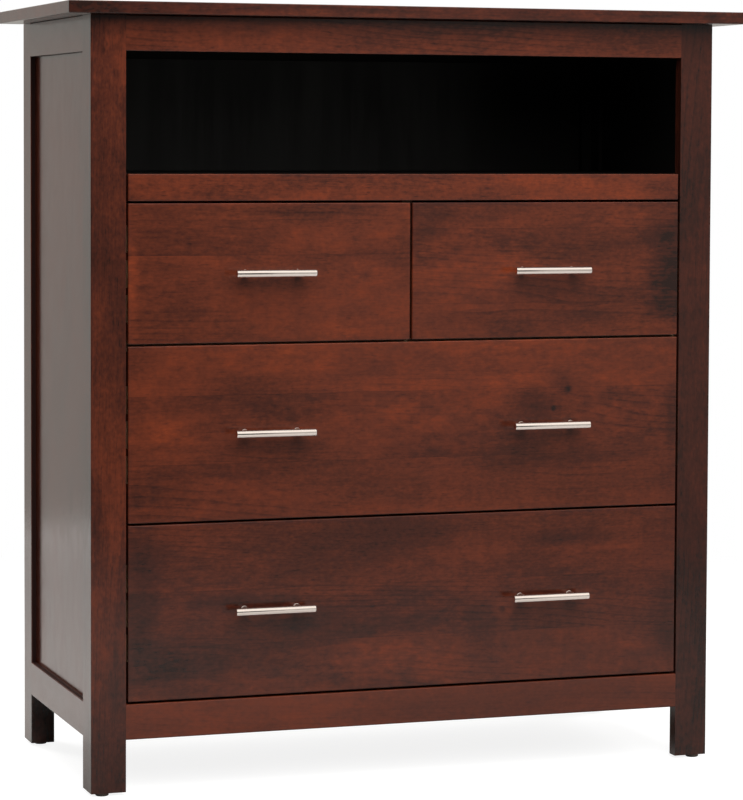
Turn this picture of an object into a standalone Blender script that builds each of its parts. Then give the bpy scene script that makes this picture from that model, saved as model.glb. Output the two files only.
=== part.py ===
"""Media chest: an open bay over two half-width and two full-width drawers, in a frame-and-panel case.

Metres, +Z up. The origin is on the floor under the middle of the top, the front faces -Y and +X is the
viewer's right. The four drawers slide along -Y, and each hangs on an empty at the middle of its front.
"""

import math

import bmesh
import bpy
from mathutils import Vector

# Fits
CLEARANCE = 0.0003           # glue line left between pieces that touch
PLAY = 0.0012                # running play of a groove over its runner
OVERLAP = 0.004              # how far a joined block reaches into the piece that carries it
CUT_PAST = 0.006             # how far a cutter runs out past the face it opens

# Case
CASE_WIDTH = 1.080
CASE_DEPTH = 0.495
FRAME_STOCK = 0.022          # thickness of posts and rails
FACE_STILE_WIDTH = 0.0575    # a post's width seen from the front
SIDE_STILE_WIDTH = 0.0575    # a post's width seen from the side
REAR_STILE_WIDTH = 0.040     # a rear post's width seen from behind
TOP_THICKNESS = 0.020
TOP_SIDE_OVERHANG = 0.044
TOP_FRONT_OVERHANG = 0.038
EDGE_EASE = 0.0015           # rounding of the edges that hands touch

# Heights, from the bottom of the legs upwards
LEG_HEIGHT = 0.0845
BOTTOM_RAIL_HEIGHT = 0.0575
LOWER_FRONT_HEIGHT = 0.2845
MIDDLE_FRONT_HEIGHT = 0.2845
UPPER_FRONT_HEIGHT = 0.2255
SHELF_RAIL_HEIGHT = 0.0435
BAY_HEIGHT = 0.1955
TOP_RAIL_HEIGHT = 0.0575
REVEAL = 0.0035              # dark gap round every drawer front

# Joinery of the case
TENON_SETBACK = 0.005        # from the outer face of the rail to its tenon
TENON_THICKNESS = 0.008
TENON_LENGTH = 0.028
TENON_SHOULDER = 0.012       # shoulder above and below a tenon
PANEL_THICKNESS = 0.006      # plywood panels of the sides, back, bottom and drawers
PANEL_LAP = 0.010            # how far a panel reaches into its rabbet or groove
SIDE_PANEL_RECESS = 0.009    # from the outer face of a side frame back to its panel
SHELF_THICKNESS = 0.020
SHELF_TONGUE = 0.008         # tongue of the shelf in its front rail, thick and long
DUST_PANEL_THICKNESS = 0.018
DIVIDER_THICKNESS = 0.018
HOUSING_DEPTH = 0.004        # housings that hold shelf, dust panel and divider
BOTTOM_PANEL_DROP = 0.014    # bottom panel below the top edge of the bottom rails
CORD_HOLE_DIAMETER = 0.055
CORD_HOLE_INSET = 0.080      # from the bay's left wall to the middle of the cord hole
CORD_HOLE_HEIGHT = 0.045     # middle of the cord hole above the shelf

# Drawers
DRAWER_REAR_SPACE = 0.023    # from the back of a drawer to the rear stiles
DRAWER_FRONT_THICKNESS = 0.020
DRAWER_SIDE_THICKNESS = 0.015
DRAWER_BACK_THICKNESS = 0.014
SIDE_ABOVE_FRONT_BOTTOM = 0.010
SIDE_BELOW_FRONT_TOP = 0.014
BOTTOM_ABOVE_SIDE_EDGE = 0.010
BOTTOM_GROOVE_DEPTH = 0.006
TAIL_LENGTH = 0.013          # half-blind tails, into the back of the drawer front
TAIL_HEIGHT = 0.040          # at the root of a tail
TAIL_SLOPE = 1 / 6           # how fast each cheek of a tail spreads
TAIL_PITCH = 0.056           # least distance between the middles of two tails

# Runners
RUNNER_HEIGHT = 0.014
RUNNER_BITE = 0.0075         # how far a runner reaches into the drawer's groove
RUNNER_GROOVE_DEPTH = 0.0082
RUNNER_BLOCK_HEIGHT = 0.045
RUNNER_LET_IN = 0.003        # inner runners are let into the divider

# Pulls
PULL_LENGTH = 0.134
PULL_DIAMETER = 0.010
PULL_POST_SPACING = 0.089
PULL_POST_DIAMETER = 0.008
PULL_STANDOFF = 0.030        # from the drawer front to the middle of the bar
PULL_END_EASE = 0.0008

# Glides
GLIDE_HEIGHT = 0.005
GLIDE_DIAMETER = 0.022
GLIDE_SIDE_INSET = 0.0205    # from the outer side of a leg to the middle of its glide
FRONT_GLIDE_INSET = 0.0115   # from the face of a front leg to the middle of its glide
REAR_GLIDE_INSET = 0.022     # from the front of a rear leg to the middle of its glide
GLIDE_NAIL_DIAMETER = 0.003
GLIDE_NAIL_LENGTH = 0.016

# Facets of round shapes
ROUND_SIDES = 24
HOLE_SIDES = 32

# Places worked out from the sizes above
HALF_WIDTH = CASE_WIDTH / 2
TOP_DEPTH = CASE_DEPTH + TOP_FRONT_OVERHANG
REAR_Y = TOP_DEPTH / 2
FRONT_Y = REAR_Y - CASE_DEPTH
INNER_FRONT_Y = FRONT_Y + FRAME_STOCK
INNER_REAR_Y = REAR_Y - FRAME_STOCK
BACK_PANEL_Y = REAR_Y - PANEL_THICKNESS
WALL_X = HALF_WIDTH - FRAME_STOCK
STILE_X = HALF_WIDTH - FACE_STILE_WIDTH
REAR_STILE_X = HALF_WIDTH - REAR_STILE_WIDTH
REAR_LEG_Y = REAR_Y - SIDE_STILE_WIDTH
DRAWER_DEPTH = CASE_DEPTH - FRAME_STOCK - DRAWER_REAR_SPACE

LEG_Z = GLIDE_HEIGHT
BOTTOM_RAIL_Z = LEG_Z + LEG_HEIGHT
BOTTOM_RAIL_TOP_Z = BOTTOM_RAIL_Z + BOTTOM_RAIL_HEIGHT
LOWER_Z = BOTTOM_RAIL_TOP_Z + REVEAL
MIDDLE_Z = LOWER_Z + LOWER_FRONT_HEIGHT + REVEAL
UPPER_Z = MIDDLE_Z + MIDDLE_FRONT_HEIGHT + REVEAL
SHELF_RAIL_Z = UPPER_Z + UPPER_FRONT_HEIGHT + REVEAL
SHELF_Z = SHELF_RAIL_Z + SHELF_RAIL_HEIGHT
TOP_RAIL_Z = SHELF_Z + BAY_HEIGHT
UNDER_TOP_Z = TOP_RAIL_Z + TOP_RAIL_HEIGHT

# The dust panel sits midway in the space between the upper and middle drawer boxes.
DUST_LOW_Z = UPPER_Z - REVEAL - SIDE_BELOW_FRONT_TOP
DUST_HIGH_Z = UPPER_Z + SIDE_ABOVE_FRONT_BOTTOM
DUST_PANEL_Z = (DUST_LOW_Z + DUST_HIGH_Z - DUST_PANEL_THICKNESS) / 2
DUST_PANEL_TOP_Z = DUST_PANEL_Z + DUST_PANEL_THICKNESS
SHELF_UNDER_Z = SHELF_Z - SHELF_THICKNESS

SIDES = {"left": -1, "right": 1}


def start_scene():
    """Clear the scene and make one collection for the chest and one for its cutters."""
    for old in list(bpy.data.objects):
        bpy.data.objects.remove(old, do_unlink=True)
    chest = bpy.data.collections.new("media_chest")
    helpers = bpy.data.collections.new("cutters")
    for collection in (chest, helpers):
        bpy.context.scene.collection.children.link(collection)
    return chest, helpers


def finish(name, colour, roughness, metallic=0.0):
    """A plain Principled material."""
    material = bpy.data.materials.new(name)
    material.use_nodes = True
    shader = material.node_tree.nodes["Principled BSDF"]
    shader.inputs["Base Color"].default_value = (*colour, 1.0)
    shader.inputs["Roughness"].default_value = roughness
    shader.inputs["Metallic"].default_value = metallic
    return material


CHEST, CUTTERS = start_scene()
CHERRY = finish("cherry_lacquer", (0.105, 0.026, 0.014), 0.28)
BAY_BLACK = finish("black_stain", (0.008, 0.007, 0.007), 0.55)
PLYWOOD = finish("birch_plywood", (0.42, 0.29, 0.17), 0.5)
MAPLE = finish("maple_drawer_box", (0.55, 0.38, 0.22), 0.45)
NICKEL = finish("brushed_nickel", (0.62, 0.58, 0.53), 0.3, 1.0)
GLIDE_BLACK = finish("dark_glide", (0.03, 0.028, 0.026), 0.5)


def put(name, bm, material, place=(0.0, 0.0, 0.0), parent=None):
    """Make a bmesh one of the chest's pieces, with its origin at a place, and free the bmesh."""
    bmesh.ops.recalc_face_normals(bm, faces=bm.faces)
    mesh = bpy.data.meshes.new(name)
    bm.to_mesh(mesh)
    bm.free()
    mesh.materials.append(material)
    piece = bpy.data.objects.new(name, mesh)
    CHEST.objects.link(piece)
    piece.parent = parent
    piece.location = Vector(place) - (parent.location if parent else Vector())
    return piece


def helper(bm, place):
    """Make a bmesh a hidden cutter or block, which a Boolean on a piece reads."""
    mesh = bpy.data.meshes.new("helper")
    bm.to_mesh(mesh)
    bm.free()
    block = bpy.data.objects.new("helper", mesh)
    CUTTERS.objects.link(block)
    block.location = place
    block.hide_render = True
    block.display_type = "WIRE"
    return block


def boolean(piece, block, operation):
    """Cut a helper from a piece, or join it on."""
    modifier = piece.modifiers.new(operation.lower(), "BOOLEAN")
    modifier.operation = operation
    modifier.solver = "EXACT"
    modifier.object = block


def cube(size):
    """A box of a given size about the origin."""
    bm = bmesh.new()
    bmesh.ops.create_cube(bm, size=1.0)
    bmesh.ops.scale(bm, vec=size, verts=bm.verts)
    return bm


def span(low, high):
    """Size and middle of the box between two corners."""
    low, high = Vector(low), Vector(high)
    return high - low, (low + high) / 2


def along(edge, axis):
    """True where an edge runs along one of the axes 0, 1 and 2."""
    run = edge.verts[1].co - edge.verts[0].co
    return abs(run[axis]) > 0.5 * run.length


def board(name, low, high, material, parent=None, eased=(), outer_only=False):
    """A board between two corners. The edges along the eased axes are rounded.

    With outer_only, edges on the side nearer the middle of the chest stay square.
    """
    size, middle = span(low, high)
    bm = cube(size)
    edges = [edge for edge in bm.edges if any(along(edge, axis) for axis in eased)]
    if outer_only:
        edges = [edge for edge in edges if all(vert.co.x * middle.x > 0 for vert in edge.verts)]
    if edges:
        bmesh.ops.bevel(
            bm, geom=edges, offset=EDGE_EASE, segments=2, profile=0.5, affect="EDGES", clamp_overlap=True
        )
    return put(name, bm, material, middle, parent)


def cut(piece, low, high):
    """Cut the box between two corners out of a piece."""
    size, middle = span(low, high)
    boolean(piece, helper(cube(size), middle), "DIFFERENCE")


def join(piece, low, high):
    """Join the box between two corners to a piece."""
    size, middle = span(low, high)
    boolean(piece, helper(cube(size), middle), "UNION")


def grown(low, high, gap=CLEARANCE):
    """The corners of a box made larger by a gap all round."""
    gap = Vector((gap, gap, gap))
    return Vector(low) - gap, Vector(high) + gap


def mirrored(low, high, side):
    """Corners given for the right side, moved to the left where side is -1."""
    if side > 0:
        return Vector(low), Vector(high)
    return Vector((-high[0], low[1], low[2])), Vector((-low[0], high[1], high[2]))


def post(name, side, front):
    """One L-shaped corner post, which is also a leg. A rear leg is solid below the rails."""
    stile_x = STILE_X if front else REAR_STILE_X
    if front:
        low_y, high_y = FRONT_Y, FRONT_Y + SIDE_STILE_WIDTH
        hollow_low, hollow_high = INNER_FRONT_Y, high_y + CUT_PAST
        hollow_z = LEG_Z - CUT_PAST
    else:
        low_y, high_y = REAR_LEG_Y, REAR_Y
        hollow_low, hollow_high = low_y - CUT_PAST, INNER_REAR_Y
        hollow_z = BOTTOM_RAIL_Z
    low, high = mirrored(
        (stile_x, low_y, LEG_Z), (HALF_WIDTH, high_y, UNDER_TOP_Z - CLEARANCE), side
    )
    piece = board(name, low, high, CHERRY, eased=(2,), outer_only=True)
    cut(piece, *mirrored(
        (stile_x - CUT_PAST, hollow_low, hollow_z),
        (WALL_X, hollow_high, UNDER_TOP_Z + CUT_PAST), side,
    ))
    return piece


def side_tenon(z, height, front):
    """Corners of a side rail's tenon, on the right side."""
    if front:
        shoulder_y = FRONT_Y + SIDE_STILE_WIDTH
        low_y, high_y = shoulder_y - TENON_LENGTH, shoulder_y + OVERLAP
    else:
        shoulder_y = REAR_LEG_Y
        low_y, high_y = shoulder_y - OVERLAP, shoulder_y + TENON_LENGTH
    outer_x = HALF_WIDTH - TENON_SETBACK
    return (
        Vector((outer_x - TENON_THICKNESS, low_y, z + TENON_SHOULDER)),
        Vector((outer_x, high_y, z + height - TENON_SHOULDER)),
    )


def cross_tenon(z, height, front):
    """Corners of a front or rear rail's tenon, at its right end."""
    shoulder_x = STILE_X if front else REAR_STILE_X
    if front:
        low_y = FRONT_Y + TENON_SETBACK
    else:
        low_y = INNER_REAR_Y + TENON_SETBACK - CLEARANCE
    return (
        Vector((shoulder_x - OVERLAP, low_y, z + TENON_SHOULDER)),
        Vector((shoulder_x + TENON_LENGTH, low_y + TENON_THICKNESS, z + height - TENON_SHOULDER)),
    )


def side_rail(name, side, z, height):
    """A rail between the two posts of one side."""
    low, high = mirrored(
        (WALL_X, FRONT_Y + SIDE_STILE_WIDTH + CLEARANCE, z),
        (HALF_WIDTH, REAR_LEG_Y - CLEARANCE, z + height - CLEARANCE), side,
    )
    piece = board(name, low, high, CHERRY, eased=(1,))
    for front in (True, False):
        join(piece, *mirrored(*side_tenon(z, height, front), side))
    return piece


def cross_rail(name, z, height, front):
    """A rail between the two front posts or the two rear posts."""
    end_x = (STILE_X if front else REAR_STILE_X) - CLEARANCE
    low_y, high_y = (FRONT_Y, INNER_FRONT_Y) if front else (INNER_REAR_Y, REAR_Y)
    piece = board(
        name, (-end_x, low_y, z), (end_x, high_y, z + height - CLEARANCE), CHERRY, eased=(0,)
    )
    for side in SIDES.values():
        join(piece, *mirrored(*cross_tenon(z, height, front), side))
    return piece


RAIL_LEVELS = {
    "bottom": (BOTTOM_RAIL_Z, BOTTOM_RAIL_HEIGHT),
    "top": (TOP_RAIL_Z, TOP_RAIL_HEIGHT),
}


def side_panel_box():
    """Corners of the right side's panel, in grooves in its posts and rails."""
    face_x = HALF_WIDTH - SIDE_PANEL_RECESS
    return (
        Vector((face_x - PANEL_THICKNESS, FRONT_Y + SIDE_STILE_WIDTH - PANEL_LAP,
                BOTTOM_RAIL_TOP_Z - PANEL_LAP)),
        Vector((face_x, REAR_LEG_Y + PANEL_LAP, TOP_RAIL_Z + PANEL_LAP)),
    )


def back_panel_box():
    """Corners of the back panel, in its rabbet flush with the back of the frame."""
    edge_x = REAR_STILE_X + PANEL_LAP
    return (
        Vector((-edge_x, BACK_PANEL_Y, BOTTOM_RAIL_TOP_Z - PANEL_LAP)),
        Vector((edge_x, REAR_Y - CLEARANCE, TOP_RAIL_Z + PANEL_LAP)),
    )


def bottom_panel_box():
    """Corners of the bottom panel, in grooves in the four bottom rails."""
    z = BOTTOM_RAIL_TOP_Z - BOTTOM_PANEL_DROP
    return (
        Vector((-WALL_X - PANEL_LAP, INNER_FRONT_Y - PANEL_LAP, z - PANEL_THICKNESS)),
        Vector((WALL_X + PANEL_LAP, INNER_REAR_Y + PANEL_LAP, z)),
    )


def shelf_box(z, thickness):
    """Corners of a full-depth board whose ends are housed in the four posts."""
    end_x = WALL_X + HOUSING_DEPTH
    return (
        Vector((-end_x, INNER_FRONT_Y + CLEARANCE, z - thickness)),
        Vector((end_x, BACK_PANEL_Y - CLEARANCE, z)),
    )


def fit_between_posts(piece, low, high):
    """Trim a full-depth board clear of the side panels, and round the rear stiles."""
    panel_low, panel_high = side_panel_box()
    for side in SIDES.values():
        cut(piece, *mirrored(
            (panel_low.x - CLEARANCE, panel_low.y - CLEARANCE, low.z - CUT_PAST),
            (WALL_X + FRAME_STOCK, panel_high.y + CLEARANCE, high.z + CUT_PAST), side,
        ))
        cut(piece, *mirrored(
            (REAR_STILE_X - CLEARANCE, INNER_REAR_Y - CLEARANCE, low.z - CUT_PAST),
            (WALL_X + FRAME_STOCK, REAR_Y + CUT_PAST, high.z + CUT_PAST), side,
        ))


def house_in_posts(posts, low, high):
    """Cut the housings for a full-depth board into the inner faces of the posts."""
    for (side_name, front), piece in posts.items():
        if front:
            low_y, high_y = INNER_FRONT_Y, FRONT_Y + SIDE_STILE_WIDTH + CUT_PAST
        else:
            low_y, high_y = REAR_LEG_Y - CUT_PAST, INNER_REAR_Y
        cut(piece, *mirrored(
            (WALL_X - CUT_PAST, low_y, low.z - CLEARANCE),
            (high.x + CLEARANCE, high_y, high.z + CLEARANCE), SIDES[side_name],
        ))


def turned(profile, sides):
    """A bmesh turned about Z from (radius, height) points that run from the axis round to the axis."""
    bm = bmesh.new()
    verts = [bm.verts.new((radius, 0.0, height)) for radius, height in profile]
    edges = [bm.edges.new(pair) for pair in zip(verts, verts[1:])]
    bmesh.ops.spin(
        bm, geom=verts + edges, cent=(0, 0, 0), axis=(0, 0, 1), angle=math.tau, steps=sides, use_merge=True
    )
    bmesh.ops.remove_doubles(bm, verts=bm.verts, dist=1e-6)
    return bm


def rod(diameter, low, high, axis, sides=ROUND_SIDES, ease=0.0):
    """A round bar from low to high along an axis, about the origin across it. Its ends may be eased."""
    bm = bmesh.new()
    bmesh.ops.create_cone(
        bm, cap_ends=True, segments=sides, radius1=diameter / 2, radius2=diameter / 2, depth=high - low
    )
    if ease:
        rims = [edge for edge in bm.edges if abs(edge.verts[0].co.z - edge.verts[1].co.z) < 1e-6]
        bmesh.ops.bevel(
            bm, geom=rims, offset=ease, segments=1, profile=0.5, affect="EDGES", clamp_overlap=True
        )
    bmesh.ops.translate(bm, vec=(0, 0, (low + high) / 2), verts=bm.verts)
    turn = Vector((0, 0, 1)).rotation_difference(Vector(axis)).to_matrix()
    bmesh.ops.rotate(bm, cent=(0, 0, 0), matrix=turn, verts=bm.verts)
    return bm


def shade_round(piece):
    """Smooth the round faces and keep the edges between faces that meet at an angle."""
    piece.data.shade_smooth()
    piece.data.set_sharp_from_angle(angle=math.radians(40))


def glide(name, leg, side, front):
    """A nail-on glide under one leg, with its nail in a hole in the end grain."""
    x = side * (HALF_WIDTH - GLIDE_SIDE_INSET)
    y = FRONT_Y + FRONT_GLIDE_INSET if front else REAR_LEG_Y + REAR_GLIDE_INSET
    radius, nail = GLIDE_DIAMETER / 2, GLIDE_NAIL_DIAMETER / 2
    top = GLIDE_HEIGHT - CLEARANCE
    rim = top / 2
    dome = [
        (radius - rim * (1 - math.sin(turn)), rim * (1 - math.cos(turn)))
        for turn in (math.radians(step) for step in (0, 30, 60, 90))
    ]
    profile = [(0.0, 0.0), *dome, (radius, top), (nail, top), (nail, top + GLIDE_NAIL_LENGTH),
               (0.0, top + GLIDE_NAIL_LENGTH)]
    piece = put(name, turned(profile, ROUND_SIDES), GLIDE_BLACK, (x, y, 0.0))
    shade_round(piece)
    hole = rod(
        GLIDE_NAIL_DIAMETER + 2 * CLEARANCE, -CUT_PAST, GLIDE_NAIL_LENGTH + CLEARANCE, (0, 0, 1)
    )
    boolean(leg, helper(hole, (x, y, LEG_Z)), "DIFFERENCE")


def case():
    """The fixed frame of the chest: posts, rails, panels, shelf, top and glides."""
    posts = {}
    for side_name, side in SIDES.items():
        for front, end in ((True, "front"), (False, "rear")):
            piece = post(f"{end}_{side_name}_post", side, front)
            posts[side_name, front] = piece
            for z, height in RAIL_LEVELS.values():
                for tenon in (side_tenon, cross_tenon):
                    cut(piece, *mirrored(*grown(*tenon(z, height, front)), side))
            glide(f"{end}_{side_name}_glide", piece, side, front)

    rails = {}
    for level, (z, height) in RAIL_LEVELS.items():
        for side_name, side in SIDES.items():
            rails[level, side_name] = side_rail(f"{side_name}_side_{level}_rail", side, z, height)
        rails[level, "front"] = cross_rail(f"front_{level}_rail", z, height, True)
        rails[level, "rear"] = cross_rail(f"rear_{level}_rail", z, height, False)

    for side_name, side in SIDES.items():
        low, high = side_panel_box()
        board(f"{side_name}_side_panel", *mirrored(low, high, side), CHERRY)
        groove = mirrored(*grown(low, high), side)
        for piece in (posts[side_name, True], posts[side_name, False],
                      rails["bottom", side_name], rails["top", side_name]):
            cut(piece, *groove)

    back_panel(posts, rails)
    bottom_panel(rails)
    media_shelf(posts)
    dust_panel(posts)
    board(
        "top_panel", (-HALF_WIDTH - TOP_SIDE_OVERHANG, -REAR_Y, UNDER_TOP_Z),
        (HALF_WIDTH + TOP_SIDE_OVERHANG, REAR_Y, UNDER_TOP_Z + TOP_THICKNESS), CHERRY, eased=(0, 1, 2),
    )


def back_panel(posts, rails):
    """The plywood back, with a cord hole at the left end of the bay."""
    low, high = back_panel_box()
    panel = board("back_panel", low, high, BAY_BLACK)
    rabbet_low, rabbet_high = grown(low, high)
    rabbet_high.y = REAR_Y + CUT_PAST
    for piece in (posts["left", False], posts["right", False],
                  rails["bottom", "rear"], rails["top", "rear"]):
        cut(piece, rabbet_low, rabbet_high)
    hole = rod(CORD_HOLE_DIAMETER, -CUT_PAST, PANEL_THICKNESS + CUT_PAST, (0, 1, 0), HOLE_SIDES)
    place = (CORD_HOLE_INSET - WALL_X, BACK_PANEL_Y, SHELF_Z + CORD_HOLE_HEIGHT)
    boolean(panel, helper(hole, place), "DIFFERENCE")


def bottom_panel(rails):
    """The plywood bottom, in grooves in the bottom rails and notched round the posts."""
    low, high = bottom_panel_box()
    panel = board("bottom_panel", low, high, PLYWOOD)
    for side in SIDES.values():
        cut(panel, *mirrored(
            (STILE_X - CLEARANCE, low.y - CUT_PAST, low.z - CUT_PAST),
            (high.x + CUT_PAST, FRONT_Y + SIDE_STILE_WIDTH + CLEARANCE, high.z + CUT_PAST), side,
        ))
        cut(panel, *mirrored(
            (REAR_STILE_X - CLEARANCE, REAR_LEG_Y - CLEARANCE, low.z - CUT_PAST),
            (high.x + CUT_PAST, high.y + CUT_PAST, high.z + CUT_PAST), side,
        ))
    groove = grown(low, high)
    for end in ("left", "right", "front", "rear"):
        cut(rails["bottom", end], *groove)


def media_shelf(posts):
    """The shelf of the open bay and the rail along its front edge."""
    low, high = shelf_box(SHELF_Z, SHELF_THICKNESS)
    shelf = board("media_shelf", low, high, BAY_BLACK)
    fit_between_posts(shelf, low, high)
    house_in_posts(posts, low, high)

    rail_x = STILE_X - REVEAL
    rail = board(
        "shelf_front_rail", (-rail_x, FRONT_Y, SHELF_RAIL_Z), (rail_x, INNER_FRONT_Y, SHELF_Z),
        CHERRY, eased=(0, 2),
    )
    tongue_z = SHELF_Z - (SHELF_THICKNESS + SHELF_TONGUE) / 2
    tongue_x = rail_x - SHELF_TONGUE
    tongue_low = Vector((-tongue_x, INNER_FRONT_Y - SHELF_TONGUE, tongue_z))
    tongue_high = Vector((tongue_x, INNER_FRONT_Y + OVERLAP, tongue_z + SHELF_TONGUE))
    join(shelf, tongue_low, tongue_high)
    cut(rail, *grown(tongue_low, tongue_high))
    cut(shelf, *divider_tongue(SHELF_UNDER_Z, 1))


def dust_panel(posts):
    """The board under the upper drawers, which carries the divider."""
    low, high = shelf_box(DUST_PANEL_TOP_Z, DUST_PANEL_THICKNESS)
    panel = board("dust_panel", low, high, PLYWOOD)
    fit_between_posts(panel, low, high)
    house_in_posts(posts, low, high)
    cut(panel, *divider_tongue(DUST_PANEL_TOP_Z, -1))


def divider_tongue(z, way):
    """Corners of the housing for an edge of the divider, above or below a face at height z."""
    half = DIVIDER_THICKNESS / 2 + CLEARANCE
    depth = HOUSING_DEPTH + CLEARANCE
    low_z, high_z = (z - CUT_PAST, z + depth) if way > 0 else (z - depth, z + CUT_PAST)
    return (
        Vector((-half, INNER_FRONT_Y - CUT_PAST, low_z)),
        Vector((half, REAR_Y + CUT_PAST, high_z)),
    )


def divider():
    """The upright board between the two upper drawers."""
    half = DIVIDER_THICKNESS / 2
    return board(
        "drawer_divider",
        (-half, INNER_FRONT_Y + CLEARANCE, DUST_PANEL_TOP_Z - HOUSING_DEPTH),
        (half, BACK_PANEL_Y - CLEARANCE, SHELF_UNDER_Z + HOUSING_DEPTH), PLYWOOD,
    )


def dovetail(low, high, root_y, way, gap=0.0):
    """A bmesh of one tail between two corners, and its middle. It spreads from its root along way * Y."""
    size, middle = span(*grown(low, high, gap))
    bm = cube(size)
    for vert in bm.verts:
        reach = way * (vert.co.y + middle.y - root_y)
        vert.co.z += math.copysign(TAIL_SLOPE * reach, vert.co.z)
    return bm, middle


def tail_middles(low_z, high_z, through_z):
    """Heights of the tails between two heights, evenly set out so that one is centred on through_z."""
    half = TAIL_HEIGHT / 2 + TAIL_SLOPE * max(TAIL_LENGTH, DRAWER_BACK_THICKNESS)
    below = int((through_z - low_z - half) // TAIL_PITCH)
    above = int((high_z - through_z - half) // TAIL_PITCH)
    return [through_z + step * TAIL_PITCH for step in range(-below, above + 1)]


def drawer(name, low_x, high_x, z, height, lips, pulls):
    """One drawer on its runners: front, dovetailed box and pulls.

    lips gives, for the left and the right end, how far the front reaches past the side of the box.
    pulls lists the places of the pulls along X.
    """
    carriage = bpy.data.objects.new(f"{name}_drawer", None)
    CHEST.objects.link(carriage)
    carriage.location = ((low_x + high_x) / 2, FRONT_Y, z + height / 2)

    back_of_front = FRONT_Y + DRAWER_FRONT_THICKNESS
    rear_y = FRONT_Y + DRAWER_DEPTH
    side_low, side_high = z + SIDE_ABOVE_FRONT_BOTTOM, z + height - SIDE_BELOW_FRONT_TOP
    bottom_z = side_low + BOTTOM_ABOVE_SIDE_EDGE
    bottom_top = bottom_z + PANEL_THICKNESS
    groove_z = z + height / 2
    box_low, box_high = low_x + lips[0], high_x - lips[1]

    front = board(
        f"{name}_drawer_front", (low_x, FRONT_Y, z), (high_x, back_of_front, z + height),
        CHERRY, carriage, eased=(0, 1, 2),
    )
    back = board(
        f"{name}_drawer_back",
        (box_low, rear_y - DRAWER_BACK_THICKNESS, bottom_top + CLEARANCE),
        (box_high, rear_y, side_high), MAPLE, carriage,
    )
    bottom_in = DRAWER_SIDE_THICKNESS - BOTTOM_GROOVE_DEPTH
    bottom_low = Vector((box_low + bottom_in, back_of_front - BOTTOM_GROOVE_DEPTH, bottom_z))
    bottom_high = Vector((box_high - bottom_in, rear_y, bottom_top))
    board(f"{name}_drawer_bottom", bottom_low, bottom_high, PLYWOOD, carriage)
    bottom_groove = grown(bottom_low, bottom_high)
    cut(front, *bottom_groove)

    runner_low = groove_z - RUNNER_HEIGHT / 2
    runner_high = groove_z + RUNNER_HEIGHT / 2
    for side_name, side in SIDES.items():
        outer = box_high if side > 0 else box_low
        inner = outer - side * DRAWER_SIDE_THICKNESS
        x_range = sorted((outer, inner))
        root_y = rear_y - DRAWER_BACK_THICKNESS - CLEARANCE
        piece = board(
            f"{name}_drawer_{side_name}_side",
            (x_range[0], back_of_front + CLEARANCE, side_low), (x_range[1], root_y, side_high),
            MAPLE, carriage,
        )
        # The side runs on under the back, down to the plywood bottom.
        join(
            piece, (x_range[0], root_y - OVERLAP, side_low), (x_range[1], rear_y, bottom_z - CLEARANCE)
        )
        lip = lips[1] if side > 0 else lips[0]
        past = 0.0 if lip else side * CUT_PAST
        socket_x = sorted((outer + past, inner))
        tip_y = back_of_front - TAIL_LENGTH
        for middle in tail_middles(bottom_top, side_high, groove_z):
            low_z, high_z = middle - TAIL_HEIGHT / 2, middle + TAIL_HEIGHT / 2
            front_tail = ((x_range[0], tip_y, low_z), (x_range[1], back_of_front + OVERLAP, high_z))
            front_socket = ((socket_x[0], tip_y, low_z), (socket_x[1], back_of_front + OVERLAP, high_z))
            boolean(piece, helper(*dovetail(*front_tail, back_of_front, -1)), "UNION")
            boolean(front, helper(*dovetail(*front_socket, back_of_front, -1, CLEARANCE)), "DIFFERENCE")
            rear_tail = ((x_range[0], root_y - OVERLAP, low_z), (x_range[1], rear_y, high_z))
            through_x = sorted((outer + side * CUT_PAST, inner))
            rear_socket = (
                (through_x[0], root_y - OVERLAP, low_z), (through_x[1], rear_y + CUT_PAST, high_z)
            )
            boolean(piece, helper(*dovetail(*rear_tail, root_y, 1)), "UNION")
            boolean(back, helper(*dovetail(*rear_socket, root_y, 1, CLEARANCE)), "DIFFERENCE")
        cut(piece, *bottom_groove)
        groove_x = sorted((outer + side * CUT_PAST, outer - side * RUNNER_GROOVE_DEPTH))
        cut(
            piece, (groove_x[0], INNER_FRONT_Y, runner_low - PLAY),
            (groove_x[1], rear_y + CUT_PAST, runner_high + CLEARANCE),
        )
    for number, x in enumerate(pulls, 1):
        tag = f"_{number}" if len(pulls) > 1 else ""
        pull(f"{name}_drawer_pull{tag}", x, z + height / 2, carriage)
    return box_low, box_high, runner_low, runner_high


def pull(name, x, z, carriage):
    """A round bar on two posts that stand on the drawer front."""
    half = PULL_LENGTH / 2
    bar = rod(PULL_DIAMETER, -half, half, (1, 0, 0), ease=PULL_END_EASE)
    piece = put(name, bar, NICKEL, (x, FRONT_Y - PULL_STANDOFF, z), carriage)
    for side in SIDES.values():
        stem = rod(PULL_POST_DIAMETER, 0.0, PULL_STANDOFF - CLEARANCE, (0, 1, 0))
        place = (x + side * PULL_POST_SPACING / 2, FRONT_Y - PULL_STANDOFF, z)
        boolean(piece, helper(stem, place), "UNION")
    shade_round(piece)


def outer_runner(name, side, box_x, low_z, high_z):
    """A runner along one wall of the case: a block behind the stiles with a tongue for the groove."""
    middle = (low_z + high_z) / 2
    low_y, high_y = INNER_FRONT_Y + CLEARANCE, INNER_REAR_Y - CLEARANCE
    piece = board(
        name, *mirrored((STILE_X, low_y, middle - RUNNER_BLOCK_HEIGHT / 2),
                        (WALL_X - CLEARANCE, high_y, middle + RUNNER_BLOCK_HEIGHT / 2), side), MAPLE,
    )
    tongue_x = abs(box_x) - RUNNER_BITE
    join(piece, *mirrored((tongue_x, low_y, low_z), (STILE_X + OVERLAP, high_y, high_z), side))


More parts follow.
